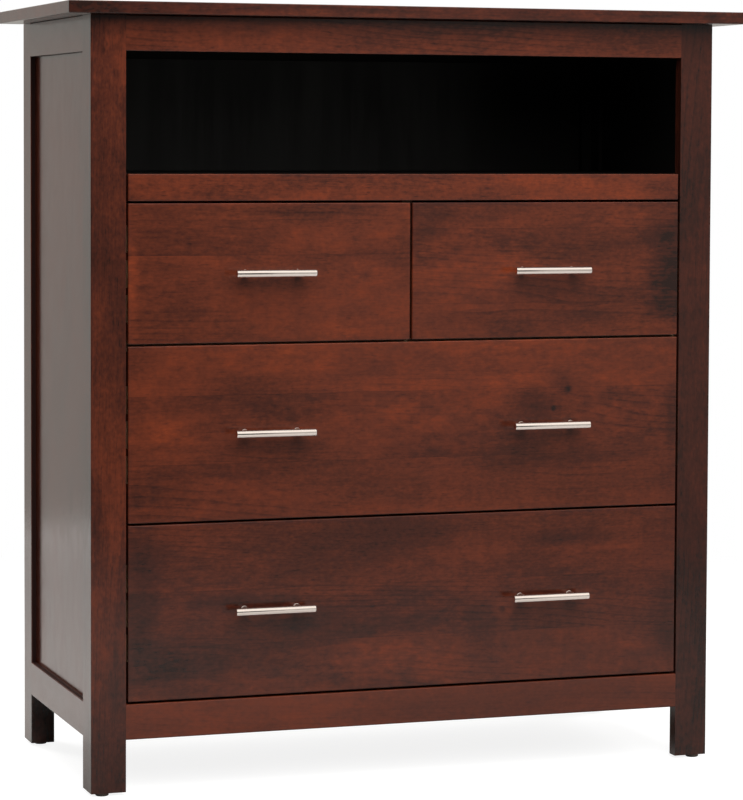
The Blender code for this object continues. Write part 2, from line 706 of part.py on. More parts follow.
def inner_runner(name, divider_board, side, box_x, low_z, high_z):
    """A strip let into the divider, for the inner side of an upper drawer."""
    low_y, high_y = INNER_FRONT_Y + CLEARANCE, INNER_REAR_Y - CLEARANCE
    face_x = DIVIDER_THICKNESS / 2
    low = Vector((face_x - RUNNER_LET_IN, low_y, low_z))
    high = Vector((abs(box_x) + RUNNER_BITE, high_y, high_z))
    board(name, *mirrored(low, high, side), MAPLE)
    slot_low, slot_high = grown(low, high)
    slot_low.y -= CUT_PAST
    cut(divider_board, *mirrored(slot_low, slot_high, side))


def drawers():
    """All four drawers with their pulls and runners."""
    opening_x = STILE_X - REVEAL
    inner_x = REVEAL / 2
    inner_lip = DIVIDER_THICKNESS / 2 + REVEAL - inner_x
    pull_x = (opening_x + inner_x) / 2
    divider_board = divider()
    for side_name, side in SIDES.items():
        low_x, high_x = sorted((side * inner_x, side * opening_x))
        lips = (inner_lip, 0.0) if side > 0 else (0.0, inner_lip)
        box_low, box_high, low_z, high_z = drawer(
            f"upper_{side_name}", low_x, high_x, UPPER_Z, UPPER_FRONT_HEIGHT, lips, [side * pull_x]
        )
        outer, inner = (box_high, box_low) if side > 0 else (box_low, box_high)
        outer_runner(f"upper_{side_name}_outer_runner", side, outer, low_z, high_z)
        inner_runner(f"upper_{side_name}_inner_runner", divider_board, side, inner, low_z, high_z)
    for name, z, height in (
        ("middle", MIDDLE_Z, MIDDLE_FRONT_HEIGHT),
        ("lower", LOWER_Z, LOWER_FRONT_HEIGHT),
    ):
        box_low, box_high, low_z, high_z = drawer(
            name, -opening_x, opening_x, z, height, (0.0, 0.0), [-pull_x, pull_x]
        )
        for side_name, side in SIDES.items():
            box_x = box_high if side > 0 else box_low
            outer_runner(f"{name}_{side_name}_runner", side, box_x, low_z, high_z)


case()
drawers()
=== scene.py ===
# %% [markdown]
# # A media chest in stained cherry
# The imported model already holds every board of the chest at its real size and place. This lesson dresses
# those boards: a camera and soft light first, then the woods, then the metal parts.
# Nothing here moves a board. A finish is changed by giving a board a better material.

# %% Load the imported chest
import math

import bmesh
import bpy
from mathutils import Matrix, Vector


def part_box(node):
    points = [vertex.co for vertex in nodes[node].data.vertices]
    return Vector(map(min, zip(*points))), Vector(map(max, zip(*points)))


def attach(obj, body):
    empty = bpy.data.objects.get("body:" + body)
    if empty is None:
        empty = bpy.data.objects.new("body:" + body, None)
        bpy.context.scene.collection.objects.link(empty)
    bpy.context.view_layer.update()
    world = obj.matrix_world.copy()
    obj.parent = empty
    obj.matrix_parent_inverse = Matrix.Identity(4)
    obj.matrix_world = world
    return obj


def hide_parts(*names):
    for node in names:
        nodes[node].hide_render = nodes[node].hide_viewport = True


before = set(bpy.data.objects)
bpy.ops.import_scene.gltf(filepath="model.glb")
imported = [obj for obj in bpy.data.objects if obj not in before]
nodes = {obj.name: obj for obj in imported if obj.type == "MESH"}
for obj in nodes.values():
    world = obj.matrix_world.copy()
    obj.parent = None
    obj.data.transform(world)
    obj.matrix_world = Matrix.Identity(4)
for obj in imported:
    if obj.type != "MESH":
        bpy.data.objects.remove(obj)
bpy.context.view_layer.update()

# %% [markdown]
# ## Where the camera stands
# The chest is seen from the left at the height of its open bay, through a long lens, so its upright edges
# stay nearly parallel. A small vertical shift does part of the framing, and a slight downward tilt the
# rest. A large shift would push the chest out of the frame when the camera is moved to another side.

# %% Camera
LENS = 138.338
FRAME_SHIFT = -0.1275
CAMERA_PLACE = (-1.6915, -4.9905, 1.0596)
YAW = math.radians(18.817)
PITCH = math.radians(3.0)
ROLL = math.radians(0.242)

scene = bpy.context.scene
scene.view_settings.view_transform = "Standard"


def placed(name, data):
    """Make an object from its data and put it in the scene."""
    thing = bpy.data.objects.new(name, data)
    scene.collection.objects.link(thing)
    return thing


camera_data = bpy.data.cameras.new("photo_camera")
camera_data.lens = LENS
camera_data.shift_y = FRAME_SHIFT
camera = placed("photo_camera", camera_data)
camera.matrix_world = (
    Matrix.Translation(CAMERA_PLACE)
    @ Matrix.Rotation(-YAW, 4, "Z")
    @ Matrix.Rotation(math.pi / 2 - PITCH, 4, "X")
    @ Matrix.Rotation(ROLL, 4, "Z")
)
scene.camera = camera
looks_along = camera.matrix_world.to_quaternion() @ Vector((0, 0, -1))
print("camera looks along", [round(part, 3) for part in looks_along])

# %% [markdown]
# ## Building materials from nodes
# A material is a small network of nodes. A few helpers keep it readable: one adds a node and fills its
# inputs, with plain values or with what another node puts out, one starts a reusable node group, and the
# others add a kind of node that comes up often.

# %% Helpers for node networks
SOCKETS = {"vector": "NodeSocketVector", "value": "NodeSocketFloat", "colour": "NodeSocketColor"}


def add(tree, kind, inputs=None, **settings):
    """Add a node, set its properties, and fill its inputs with values or with other nodes' outputs."""
    node = tree.nodes.new("ShaderNode" + kind)
    for name, value in settings.items():
        setattr(node, name, value)
    for name, value in (inputs or {}).items():
        if isinstance(value, bpy.types.NodeSocket):
            tree.links.new(value, node.inputs[name])
        else:
            node.inputs[name].default_value = value
    return node


def start_group(name, inputs, outputs):
    """Start a shader node group. Returns its tree, the sockets of its inputs, and its output node."""
    tree = bpy.data.node_groups.new(name, "ShaderNodeTree")
    for socket, kind in inputs.items():
        tree.interface.new_socket(name=socket, in_out="INPUT", socket_type=SOCKETS[kind])
    for socket, kind in outputs.items():
        tree.interface.new_socket(name=socket, in_out="OUTPUT", socket_type=SOCKETS[kind])
    return tree, tree.nodes.new("NodeGroupInput").outputs, tree.nodes.new("NodeGroupOutput")


def calc(tree, operation, first, second=0.0, third=0.0):
    """The result of one Math node."""
    return add(tree, "Math", {0: first, 1: second, 2: third}, operation=operation).outputs[0]


def times(tree, first, second):
    """The product of two values."""
    return calc(tree, "MULTIPLY", first, second)


def axes_of(tree, vector):
    """The X, Y and Z of a vector."""
    return add(tree, "SeparateXYZ", {0: vector}).outputs


def vector_calc(tree, operation, first, second):
    """The result of one Vector Math node."""
    return add(tree, "VectorMath", {0: first, 1: second}, operation=operation).outputs[0]


def total(tree, terms):
    """The sum of several values."""
    result = terms[0]
    for term in terms[1:]:
        result = calc(tree, "ADD", result, term)
    return result


def fade(tree, value, low, high, to_low=0.0, to_high=1.0):
    """A smooth change from to_low to to_high while a value goes from low to high."""
    ends = {"From Min": low, "From Max": high, "To Min": to_low, "To Max": to_high}
    return add(
        tree, "MapRange", {"Value": value, **ends}, interpolation_type="SMOOTHSTEP"
    ).outputs["Result"]


def noise(tree, place, stretch, detail=2.0, roughness=0.5, distortion=0.0):
    """Noise with so many changes per metre along each axis."""
    scaled = vector_calc(tree, "MULTIPLY", place, stretch)
    node = add(tree, "TexNoise", {
        "Vector": scaled, "Scale": 1.0, "Detail": detail, "Roughness": roughness, "Distortion": distortion,
    })
    return node.outputs["Fac"]


def tones(tree, value, stops):
    """Colours that a value runs through, given as (position, colour) stops."""
    node = add(tree, "ValToRGB", {"Fac": value})
    elements = node.color_ramp.elements
    while len(elements) < len(stops):
        elements.new(0.5)
    for element, (position, colour) in zip(elements, stops):
        element.position = position
        element.color = (*colour, 1.0)
    return node.outputs["Color"]


def blend(tree, share, first, second):
    """A colour between two colours."""
    return add(tree, "Mix", {"Factor": share, "A": first, "B": second}, data_type="RGBA").outputs["Result"]


def start_material(name):
    """Start a material. Returns it, its tree, its Principled shader and the piece's own coordinates."""
    material = bpy.data.materials.new(name)
    material.use_nodes = True
    tree = material.node_tree
    place = add(tree, "TexCoord").outputs["Object"]
    return material, tree, tree.nodes["Principled BSDF"], place


print("helpers ready")

# %% [markdown]
# ## Studio
# The chest stands in a white studio, and lacquer shows whatever it mirrors. The wall behind the chest is
# bright, so the left side, seen at a glancing angle, turns grey. The part of the room in front is dimmer,
# and darkest at the left, so the drawer fronts stay deep red and the recess of the left side stays black.
# A bright ceiling gives each pull the light band along its upper half.
# A world shader can hold all of this: the level follows the heading of the ray, and Light Path tells a
# mirrored ray from one that only lights the wood. For the camera itself the background is plain white.

# %% World
ROOM_FRONT_LEFT = 0.04
ROOM_FRONT_RIGHT = 0.49
ROOM_BACK = 0.55
ROOM_ABOVE = 0.36
MIRRORED_ABOVE = 1.08
RIGHT_FADE = (0.20, 0.32)  # headings between the dim and the lit part in front
BACK_FADE = (-0.45, 0.60)  # headings between the front and the back
ABOVE_FADE = (0.25, 0.75)  # headings between the walls and the ceiling
MIRRORED_ABOVE_FADE = (0.24, 0.46)
LOW_FADE = (0.06, 0.22)  # headings near the floor, from which little light comes in front
WARM_WHITE = (1.0, 0.97, 0.90, 1.0)
PLAIN_WHITE = (1.0, 1.0, 1.0, 1.0)

world = bpy.data.worlds.new("studio")
scene.world = world
world.use_nodes = True
tree = world.node_tree
heading = axes_of(tree, add(tree, "TexCoord").outputs["Generated"])
in_front = fade(tree, heading["X"], *RIGHT_FADE, ROOM_FRONT_LEFT, ROOM_FRONT_RIGHT)
around = fade(tree, heading["Y"], *BACK_FADE, in_front, ROOM_BACK)
low_in_front = times(tree, in_front, fade(tree, heading["Z"], *LOW_FADE))
lit_around = fade(tree, heading["Y"], *BACK_FADE, low_in_front, ROOM_BACK)
lit_above = fade(tree, heading["Z"], *ABOVE_FADE, 0.0, ROOM_ABOVE)
lit_from = calc(tree, "MAXIMUM", lit_around, lit_above)
mirrored_above = fade(tree, heading["Z"], *MIRRORED_ABOVE_FADE, 0.0, MIRRORED_ABOVE)
mirrored = calc(tree, "MAXIMUM", around, mirrored_above)
ray = add(tree, "LightPath").outputs
seen = calc(tree, "MAXIMUM", ray["Is Camera Ray"], ray["Is Transmission Ray"])
level = add(tree, "MapRange", {"Value": ray["Is Glossy Ray"], "To Min": lit_from, "To Max": mirrored})
level = add(tree, "MapRange", {"Value": seen, "To Min": level.outputs["Result"], "To Max": 1.0})
background = tree.nodes["Background"]
tree.links.new(level.outputs["Result"], background.inputs["Strength"])
tree.links.new(blend(tree, seen, WARM_WHITE, PLAIN_WHITE), background.inputs["Color"])
print("room light from", ROOM_FRONT_LEFT, "to", ROOM_BACK)

# %% [markdown]
# The floor is white paper for the camera, with a faint shadow of the chest on it, and it runs out into
# the white background without a horizon. What the lacquer and the pulls mirror is the same paper, lit by
# the lamps, but it is dimmer further out, in front and at the rear. The light that it throws back at the
# wood is held low, because the legs and the lower edges are dark. Light Path tells the rays apart.

# %% Floor
PAPER_BEHIND = (0.86, 0.84, 0.82, 1.0)
PAPER_REAR = (0.57, 0.555, 0.54, 1.0)
PAPER_NEAR = (0.47, 0.46, 0.44, 1.0)
PAPER_FAR = (0.20, 0.20, 0.20, 1.0)
PAPER_FOR_CAMERA = (0.26, 0.26, 0.26, 1.0)
NO_PAPER = (0.0, 0.0, 0.0, 1.0)
PAPER_GLOW = 0.86  # how much of the paper's white is its own glow, which takes no shadow
PAPER_BOUNCE = 0.10  # the share of its light that reaches the wood
BEHIND_FADE = (-0.50, 0.60)  # depths between the paper in front of the chest and behind it
REAR_FADE = (0.20, 2.40)
FAR_FADE = (-3.40, -1.10)
HORIZON_FADE = (1.1, 2.6)  # distance over which the paper turns into plain white
FLOOR_SIZE = 3.2


def mesh_from(bm, name):
    """Turn a bmesh into a mesh. The bmesh is used up."""
    mesh = bpy.data.meshes.new(name)
    bm.to_mesh(mesh)
    bm.free()
    return mesh


bm = bmesh.new()
bmesh.ops.create_grid(bm, x_segments=1, y_segments=1, size=FLOOR_SIZE)
floor = placed("floor", mesh_from(bm, "floor"))

paper, tree, shader, place = start_material("white_sweep")
tree.nodes.remove(shader)
ray = add(tree, "LightPath").outputs
to_camera = ray["Is Camera Ray"]
depth = axes_of(tree, place)["Y"]
distance = add(tree, "VectorMath", {0: place}, operation="LENGTH").outputs["Value"]
near = fade(tree, distance, *HORIZON_FADE, 1.0, 0.0)
in_front = blend(tree, fade(tree, depth, *FAR_FADE), PAPER_FAR, PAPER_NEAR)
behind = blend(tree, fade(tree, depth, *REAR_FADE), PAPER_BEHIND, PAPER_REAR)
mirrored = blend(tree, fade(tree, depth, *BEHIND_FADE), in_front, behind)
bounce = fade(tree, ray["Is Diffuse Ray"], 0.0, 1.0, 1.0, PAPER_BOUNCE)
mirrored = add(tree, "VectorMath", {0: mirrored, "Scale": bounce}, operation="SCALE").outputs[0]
seen = blend(tree, near, NO_PAPER, PAPER_FOR_CAMERA)
diffuse = add(tree, "BsdfDiffuse", {"Color": blend(tree, to_camera, mirrored, seen)})
glow = add(tree, "Emission", {
    "Strength": times(tree, to_camera, fade(tree, near, 0.0, 1.0, 1.0, PAPER_GLOW)),
})
both = add(tree, "AddShader", {0: diffuse.outputs[0], 1: glow.outputs[0]})
tree.links.new(both.outputs[0], tree.nodes["Material Output"].inputs["Surface"])
floor.data.materials.append(paper)
print("floor", 2 * FLOOR_SIZE, "m wide")

# %% [markdown]
# One large soft box hangs high in front. It throws the soft shade under the top's overhang and under each
# pull, and hardly reaches the left side. A second one at the left rear warms that side, a weaker one does
# the same at the right, and another overhead lights the top. Area lamps do this best, because the softness
# of a shadow comes from the size of its lamp. They stay out of reflections, where the bright room takes
# their place.

# %% Soft boxes
SOFT_BOXES = {
    # place, the point that it faces, width and height, power in watts
    "front_box": ((-0.1, -2.7, 3.0), (0.0, -0.2, 0.7), (3.2, 3.4), 190.0),
    "side_box": ((-2.6, 4.6, 2.6), (-0.5, 0.0, 0.6), (1.4, 1.8), 170.0),
    "right_box": ((3.4, 1.8, 2.2), (0.5, 0.0, 0.6), (1.4, 1.8), 75.0),
    "top_box": ((0.3, -0.6, 3.4), (0.0, -0.2, 1.0), (2.6, 1.6), 16.0),
}


def soft_box(name, place, target, size, power):
    """A rectangular area lamp that faces a target."""
    data = bpy.data.lights.new(name, "AREA")
    data.shape = "RECTANGLE"
    data.size, data.size_y = size
    data.energy = power
    lamp = placed(name, data)
    lamp.location = place
    lamp.rotation_euler = (Vector(target) - Vector(place)).to_track_quat("-Z", "Y").to_euler()
    lamp.visible_camera = False
    lamp.visible_glossy = False


for name, settings in SOFT_BOXES.items():
    soft_box(name, *settings)
print("lamps:", list(SOFT_BOXES))

# %% [markdown]
# ## Stained cherry
# Cherry takes stain unevenly: soft dark clouds lie beside orange-red streaks, fine dark ticks mark the
# pores, and faint bands run across the grain. One node group holds all of this, in a space whose first
# axis runs along the grain, so the same wood serves rails, posts and drawer fronts.
# The rings are circles round the heart of a log that leans a little both ways, which draws the pointed
# arches that plain-sawn boards show. Noise alone would give streaks, but never an arch.

# %% Growth rings
HEART_LEAN = 0.050  # how fast the heart of the log climbs across the board
HEART_DIVE = 0.022  # how fast it leaves the face of the board
RING_WIDTH = 0.0085
SEASON_NOISE = ((2.2, 30, 30), 1)  # good and bad years push the rings apart or together
SEASON_SHARE = 1.6
RING_NOISE = ((2.5, 11, 11), 2)  # where on a board the rings show at all
RING_SHOWN = (0.45, 0.66)
LATE_WOOD = (0.60, 0.98)  # the part of a ring that darkens


def about_zero(tree, value, amount):
    """A noise value moved to lie about zero, times an amount."""
    return times(tree, calc(tree, "SUBTRACT", value, 0.5), amount)


def late_wood_rings(tree, grain):
    """Dark lines where the board cuts the growth rings, shown in some places and not in others."""
    axis = axes_of(tree, grain)
    up = calc(tree, "MULTIPLY_ADD", axis["X"], HEART_LEAN, axis["Z"])
    deep = calc(tree, "MULTIPLY_ADD", axis["X"], HEART_DIVE, axis["Y"])
    squares = calc(tree, "ADD", times(tree, up, up), times(tree, deep, deep))
    radius = calc(tree, "SQRT", squares)
    season = times(tree, noise(tree, grain, *SEASON_NOISE), SEASON_SHARE)
    ring = calc(tree, "FRACT", calc(tree, "MULTIPLY_ADD", radius, 1 / RING_WIDTH, season))
    shown = fade(tree, noise(tree, grain, *RING_NOISE), *RING_SHOWN)
    return times(tree, fade(tree, ring, *LATE_WOOD), shown)


print("rings every", RING_WIDTH * 1000, "mm")

# %% [markdown]
# The figure is a sum of noise layers, from clouds as wide as a hand down to specks and pores. Each has a
# share in the tone, and the tone picks a colour between nearly black and orange-red.

# %% The cherry group
BOARD_STEP = (1.37, 0.083, 0.047)  # where in the log the next glued board comes from
CHERRY_TONES = [
    (0.00, (0.016, 0.0060, 0.0045)),
    (0.25, (0.050, 0.0118, 0.0068)),
    (0.50, (0.102, 0.0212, 0.0095)),
    (0.75, (0.158, 0.0292, 0.0104)),
    (1.00, (0.230, 0.0440, 0.0135)),
]
MIDDLE_TONE = 0.50
FIGURE = {
    # share in the tone, changes per metre along and across the grain, detail, roughness, distortion
    "clouds": (0.26, (3.0, 9, 9), 2.5, 0.5, 0.6),
    "blotches": (0.26, (17, 38, 38), 3, 0.6, 0.5),
    "dashes": (0.24, (48, 105, 105), 2, 0.55),
    "specks": (0.38, (120, 210, 210), 2, 0.6),
    "streaks": (0.12, (2.4, 62, 62), 2.5, 0.55),
    "lines": (0.20, (14, 320, 320), 2, 0.6),
    "curl": (0.20, (46, 9, 9), 2, 0.5, 0.6),
}
BOARD_SHARE = 0.10
TICK_SHARE = -0.13
RING_SHARE = -0.13
TICK_NOISE = ((60, 520, 520), 1)
TICK_FADE = (0.60, 0.76)
CURL_FADE = (0.4, 0.6)  # curl shows only where the clouds are light
SWAY_NOISE = ((1.7, 8, 8), 2)
SWAY_SHARE = 0.032  # how far the grain wanders, in metres
UNEVEN_FADE = (0.75, 1.25, 0.60, 1.40)
LACQUER_ROUGHNESS = (0.3, 0.7, 0.14, 0.20)
WAVE_NOISE = ((14, 40, 40), 1)
WAVE_HEIGHT = 0.5
LINE_HEIGHT = 0.15
TICK_HEIGHT = -0.35


def make_cherry_group():
    """Colour, roughness and surface height of stained and lacquered cherry."""
    tree, given, out = start_group(
        "stained_cherry",
        {"Grain": "vector", "Board": "value", "Tone": "value", "Figure": "value", "Mark": "value"},
        {"Colour": "colour", "Roughness": "value", "Height": "value"},
    )
    step = add(tree, "VectorMath", {0: BOARD_STEP, "Scale": given["Board"]}, operation="SCALE").outputs[0]
    grain = vector_calc(tree, "ADD", given["Grain"], step)
    sway = about_zero(tree, noise(tree, grain, *SWAY_NOISE), SWAY_SHARE)
    grain = vector_calc(tree, "ADD", grain, add(tree, "CombineXYZ", {"Y": sway, "Z": sway}).outputs[0])

    layers = {name: noise(tree, grain, *settings[1:]) for name, settings in FIGURE.items()}
    layers["curl"] = times(tree, layers["curl"], fade(tree, layers["clouds"], *CURL_FADE))
    ticks = fade(tree, noise(tree, grain, *TICK_NOISE), *TICK_FADE)
    board_tone = add(tree, "TexWhiteNoise", {"W": given["Board"]}, noise_dimensions="1D").outputs["Value"]

    shares = [about_zero(tree, layers[name], settings[0]) for name, settings in FIGURE.items()]
    shares.append(about_zero(tree, board_tone, BOARD_SHARE))
    shares.append(times(tree, ticks, TICK_SHARE))
    shares.append(times(tree, late_wood_rings(tree, grain), RING_SHARE))
    base = calc(tree, "ADD", given["Tone"], MIDDLE_TONE)
    tone = calc(tree, "MULTIPLY_ADD", total(tree, shares), given["Figure"], base)
    uneven = fade(tree, calc(tree, "ADD", layers["blotches"], layers["dashes"]), *UNEVEN_FADE)
    tone = calc(tree, "SUBTRACT", tone, times(tree, given["Mark"], uneven))
    tree.links.new(tones(tree, tone, CHERRY_TONES), out.inputs["Colour"])
    tree.links.new(fade(tree, layers["blotches"], *LACQUER_ROUGHNESS), out.inputs["Roughness"])
    height = total(tree, [
        times(tree, noise(tree, given["Grain"], *WAVE_NOISE), WAVE_HEIGHT),
        times(tree, layers["lines"], LINE_HEIGHT),
        times(tree, ticks, TICK_HEIGHT),
    ])
    tree.links.new(height, out.inputs["Height"])
    return tree


CHERRY_GROUP = make_cherry_group()
print("cherry group:", len(CHERRY_GROUP.nodes), "nodes")

# %% [markdown]
# Some marks belong to one board only: a dark cloud, an orange flame, a small knot. Others are painted
# shade: the shadows of the pulls, and faces darkened where shade falls. Each is a soft ellipse at a place
# on the board, and noise breaks its outline so that it doesn't read as a drawn shape. A mark that darkens
# has a positive strength, and one that lightens a negative strength.

# %% Marks at a place
BROAD_NOISE = ((11, 11, 30), 3, 0.6)
FINE_NOISE = ((40, 40, 120), 2, 0.6)
FINE_SHARE = 0.6
MARK_FADE = (0.15, 1.45, 1.0, 0.0)  # a mark fades from its middle to beyond its outline
KNOT_REACH = 0.012  # a mark narrower than this is a knot
KNOT_RAG = 0.4
CLOUD_RAG = 1.7
FRONT_FACE = (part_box("lower_drawer_front")[0].y, 0.05)


def make_mark_group():
    """A soft spot round a centre, with a given reach along each axis."""
    tree, given, out = start_group(
        "stain_and_shade_mark",
        {"Place": "vector", "Centre": "vector", "Reach": "vector", "Rag": "value"},
        {"Mask": "value"},
    )
    broad = noise(tree, given["Place"], *BROAD_NOISE)
    fine = noise(tree, given["Place"], *FINE_NOISE)
    away = vector_calc(tree, "SUBTRACT", given["Place"], given["Centre"])
    away = vector_calc(tree, "DIVIDE", away, given["Reach"])
    distance = add(tree, "VectorMath", {0: away}, operation="LENGTH").outputs["Value"]
    edge = calc(tree, "ADD", about_zero(tree, fine, FINE_SHARE), about_zero(tree, broad, 1.0))
    ragged = calc(tree, "MULTIPLY_ADD", edge, given["Rag"], distance)
    tree.links.new(fade(tree, ragged, *MARK_FADE), out.inputs["Mask"])
    return tree


MARK_GROUP = make_mark_group()


def marks(tree, place, spots, face):
    """The sum of marks on a face at (y, depth), each (x, z, half width, half height, strength)."""
    face_y, depth = face
    parts = []
    for x, z, half_width, half_height, strength in spots:
        group = add(tree, "Group", {"Place": place}, node_tree=MARK_GROUP)
        group.inputs["Centre"].default_value = (x, face_y, z)
        group.inputs["Reach"].default_value = (half_width, depth, half_height)
        group.inputs["Rag"].default_value = KNOT_RAG if half_width < KNOT_REACH else CLOUD_RAG
        parts.append(times(tree, group.outputs["Mask"], strength))
    return total(tree, parts)


print("mark group:", len(MARK_GROUP.nodes), "nodes")

# %% [markdown]
# The inside of the open bay is painted black, whatever board it belongs to: painted shade for the dark
# inside of the bay. A box of coordinates finds those faces: a point at or inside the bay's walls is black,
# and the rest stays cherry. Another box finds the inner edges of the side frames, which are painted near
# black and dull: painted shade in that narrow recess.

# %% The black bay and the frames' inner edges
PAINT_SKIN = 0.0008
# Painted shade: the inside of the bay is painted black, in cherry and plain wood alike.
BAY_SHADE_BLACK = (0.0045, 0.0040, 0.0038, 1.0)
# Painted shade: the inner edges of the side frames are near black and dull.
RECESS_SHADE = (0.0160, 0.0042, 0.0032, 1.0)
side_panel_low, side_panel_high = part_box("right_side_panel")
bay_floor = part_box("media_shelf")[1].z
bay_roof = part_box("top_panel")[0].z
recess_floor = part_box("right_side_bottom_rail")[1].z
recess_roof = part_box("right_side_top_rail")[0].z
BAY = {
    "X": (0.0, side_panel_low.x + PAINT_SKIN),
    "Y": (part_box("front_top_rail")[1].y - PAINT_SKIN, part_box("back_panel")[0].y + PAINT_SKIN),
    "Z": (bay_floor - PAINT_SKIN, bay_roof + PAINT_SKIN),
}
FRAME_RECESS = {
    "X": (side_panel_high.x + PAINT_SKIN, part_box("right_side_top_rail")[1].x - 2 * PAINT_SKIN),
    "Y": (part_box("front_right_post")[1].y - PAINT_SKIN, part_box("rear_right_post")[0].y + PAINT_SKIN),
    "Z": (recess_floor - PAINT_SKIN, recess_roof + PAINT_SKIN),
}


def make_box_group(name, box):
    """A mask that is one inside a box. The box lies at both sides alike, so X is taken without its sign."""
    tree, given, out = start_group(name, {"Place": "vector"}, {"Mask": "value"})
    axis = axes_of(tree, given["Place"])
    values = {"X": calc(tree, "ABSOLUTE", axis["X"]), "Y": axis["Y"], "Z": axis["Z"]}
    inside = 1.0
    for letter, (low, high) in box.items():
        inside = times(tree, inside, calc(tree, "GREATER_THAN", values[letter], low))
        inside = times(tree, inside, calc(tree, "LESS_THAN", values[letter], high))
    tree.links.new(inside, out.inputs["Mask"])
    return tree


BAY_GROUP = make_box_group("inside_bay", BAY)
RECESS_GROUP = make_box_group("frame_recess", FRAME_RECESS)


def mask_of(tree, place, group):
    """The mask of a box group in a material."""
    return add(tree, "Group", {"Place": place}, node_tree=group).outputs["Mask"]


print("bay:", BAY, "recess:", FRAME_RECESS)

# %% [markdown]
# A board's own cherry is the group with a turn, a place in the log, a tone and its marks. Glued-up
# boards change at their seams: the seam heights are counted, and the count picks another part of the log.

# %% A cherry for each board
GRAIN_TURN = {"X": (0, 0, 0), "Y": (0, 0, -math.pi / 2), "Z": (0, math.pi / 2, 0)}
LACQUER_IOR = 1.40
LACQUER_RELIEF = (0.06, 0.0005)  # strength and distance of the Bump node
SEAM_FADE = (0.0002, 0.0014, 1.0, 0.0)
SEAM_STRENGTH = 0.07
DULL_ROUGHNESS = 0.7


def glued_seams(tree, place, seams, axis):
    """Which glued board a place is on, counted across the seams, and a mask of the thin glue lines."""
    height = axes_of(tree, place)[axis]
    boards = []
    lines = []
    for seam in seams:
        boards.append(calc(tree, "GREATER_THAN", height, seam))
        gap = calc(tree, "ABSOLUTE", calc(tree, "SUBTRACT", height, seam))
        lines.append(fade(tree, gap, *SEAM_FADE))
    return total(tree, boards), total(tree, lines)


def along_grain(tree, place, axis, start):
    """A place in the log, whose first axis is the grain, for a board with its grain along an axis."""
    turn = add(tree, "Mapping", {"Vector": place, "Rotation": GRAIN_TURN[axis], "Location": start})
    return turn.outputs[0]


def add_relief(tree, shader, height, strength, distance):
    """Give a shader a fine relief from a height."""
    bump = add(tree, "Bump", {"Height": height, "Strength": strength, "Distance": distance})
    tree.links.new(bump.outputs[0], shader.inputs["Normal"])


def cherry(name, axis, start, tone, figure, spots=(), face=FRONT_FACE, seams=(), seam_axis="Z"):
    """Lacquered cherry whose grain runs along an axis, from a start in the log, with marks and seams."""
    material, tree, shader, place = start_material("cherry_" + name)
    wood = add(tree, "Group", {"Grain": along_grain(tree, place, axis, start)}, node_tree=CHERRY_GROUP)
    wood.inputs["Tone"].default_value = tone
    wood.inputs["Figure"].default_value = figure
    strength = [marks(tree, place, spots, face)] if spots else []
    if seams:
        board, glue = glued_seams(tree, place, seams, seam_axis)
        tree.links.new(board, wood.inputs["Board"])
        strength.append(times(tree, glue, SEAM_STRENGTH))
    if strength:
        tree.links.new(total(tree, strength), wood.inputs["Mark"])
    bay = mask_of(tree, place, BAY_GROUP)
    recess = mask_of(tree, place, RECESS_GROUP)
    # Painted shade: near black on the side frames' inner edges.
    colour = blend(tree, recess, wood.outputs["Colour"], RECESS_SHADE)
    # Painted shade: black inside the bay.
    tree.links.new(blend(tree, bay, colour, BAY_SHADE_BLACK), shader.inputs["Base Color"])
    dull = times(tree, calc(tree, "MAXIMUM", bay, recess), DULL_ROUGHNESS)
    tree.links.new(calc(tree, "MAXIMUM", wood.outputs["Roughness"], dull), shader.inputs["Roughness"])
    shader.inputs["IOR"].default_value = LACQUER_IOR
    add_relief(tree, shader, wood.outputs["Height"], *LACQUER_RELIEF)
    return material


def dress(material, *names):
    """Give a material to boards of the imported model."""
    for name in names:
        nodes[name].material_slots[0].material = material


print("cherry ready")

# %% [markdown]
# Each board of the frame comes from another part of the log. A table gives its grain, tone and marks.
# Some of these marks are painted shade: on the top's front edge, on the right post's front face and low
# on the rear legs.

# %% Frame boards
FRONT_START = 0.30
TOP_FACE = (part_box("top_panel")[0].y, 0.012)
POST_FACE = (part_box("front_right_post")[0].y, 0.022)
REAR_LEG_FACE = (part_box("rear_left_post")[0].y, 0.03)
TOP_SEAMS = (-0.16, -0.05, 0.06, 0.17)
# Painted shade: these darken the top's front edge, along its whole length and more at both ends.
TOP_EDGE_SHADE = [
    (0.0, 1.262, 1.3, 0.06, 0.25), (-0.56, 1.262, 0.13, 0.06, 0.11), (0.57, 1.262, 0.12, 0.06, 0.05),
]
LEFT_POST_SPOTS = [
    (-0.51, 1.18, 0.09, 0.12, -0.09), (-0.51, 0.86, 0.09, 0.24, 0.08),
    (-0.51, 0.02, 0.09, 0.14, 0.16), (-0.51, 0.3, 0.07, 0.16, -0.06),
]
# The first mark darkens the right post's whole front face: painted shade. The others lighten it near the
# top and darken it near the floor.
RIGHT_POST_SHADE_AND_MARKS = [
    (0.51, 0.64, 0.6, 4.0, 0.22), (0.51, 1.16, 0.09, 0.14, -0.1), (0.51, 0.02, 0.09, 0.16, 0.08),
]
# Painted shade: the rear legs' front faces are darkened near the floor.
REAR_LEG_SHADE = [(-0.52, 0.05, 0.1, 0.08, 0.34), (0.52, 0.05, 0.1, 0.08, 0.34)]
TOP_RAIL_SPOTS = [(0.0, 1.215, 0.2, 0.05, -0.09)]
SHELF_RAIL_SPOTS = [(0.48, 0.985, 0.06, 0.05, 0.1)]
BOTTOM_RAIL_SPOTS = [(0.16, 0.115, 0.28, 0.05, 0.04)]

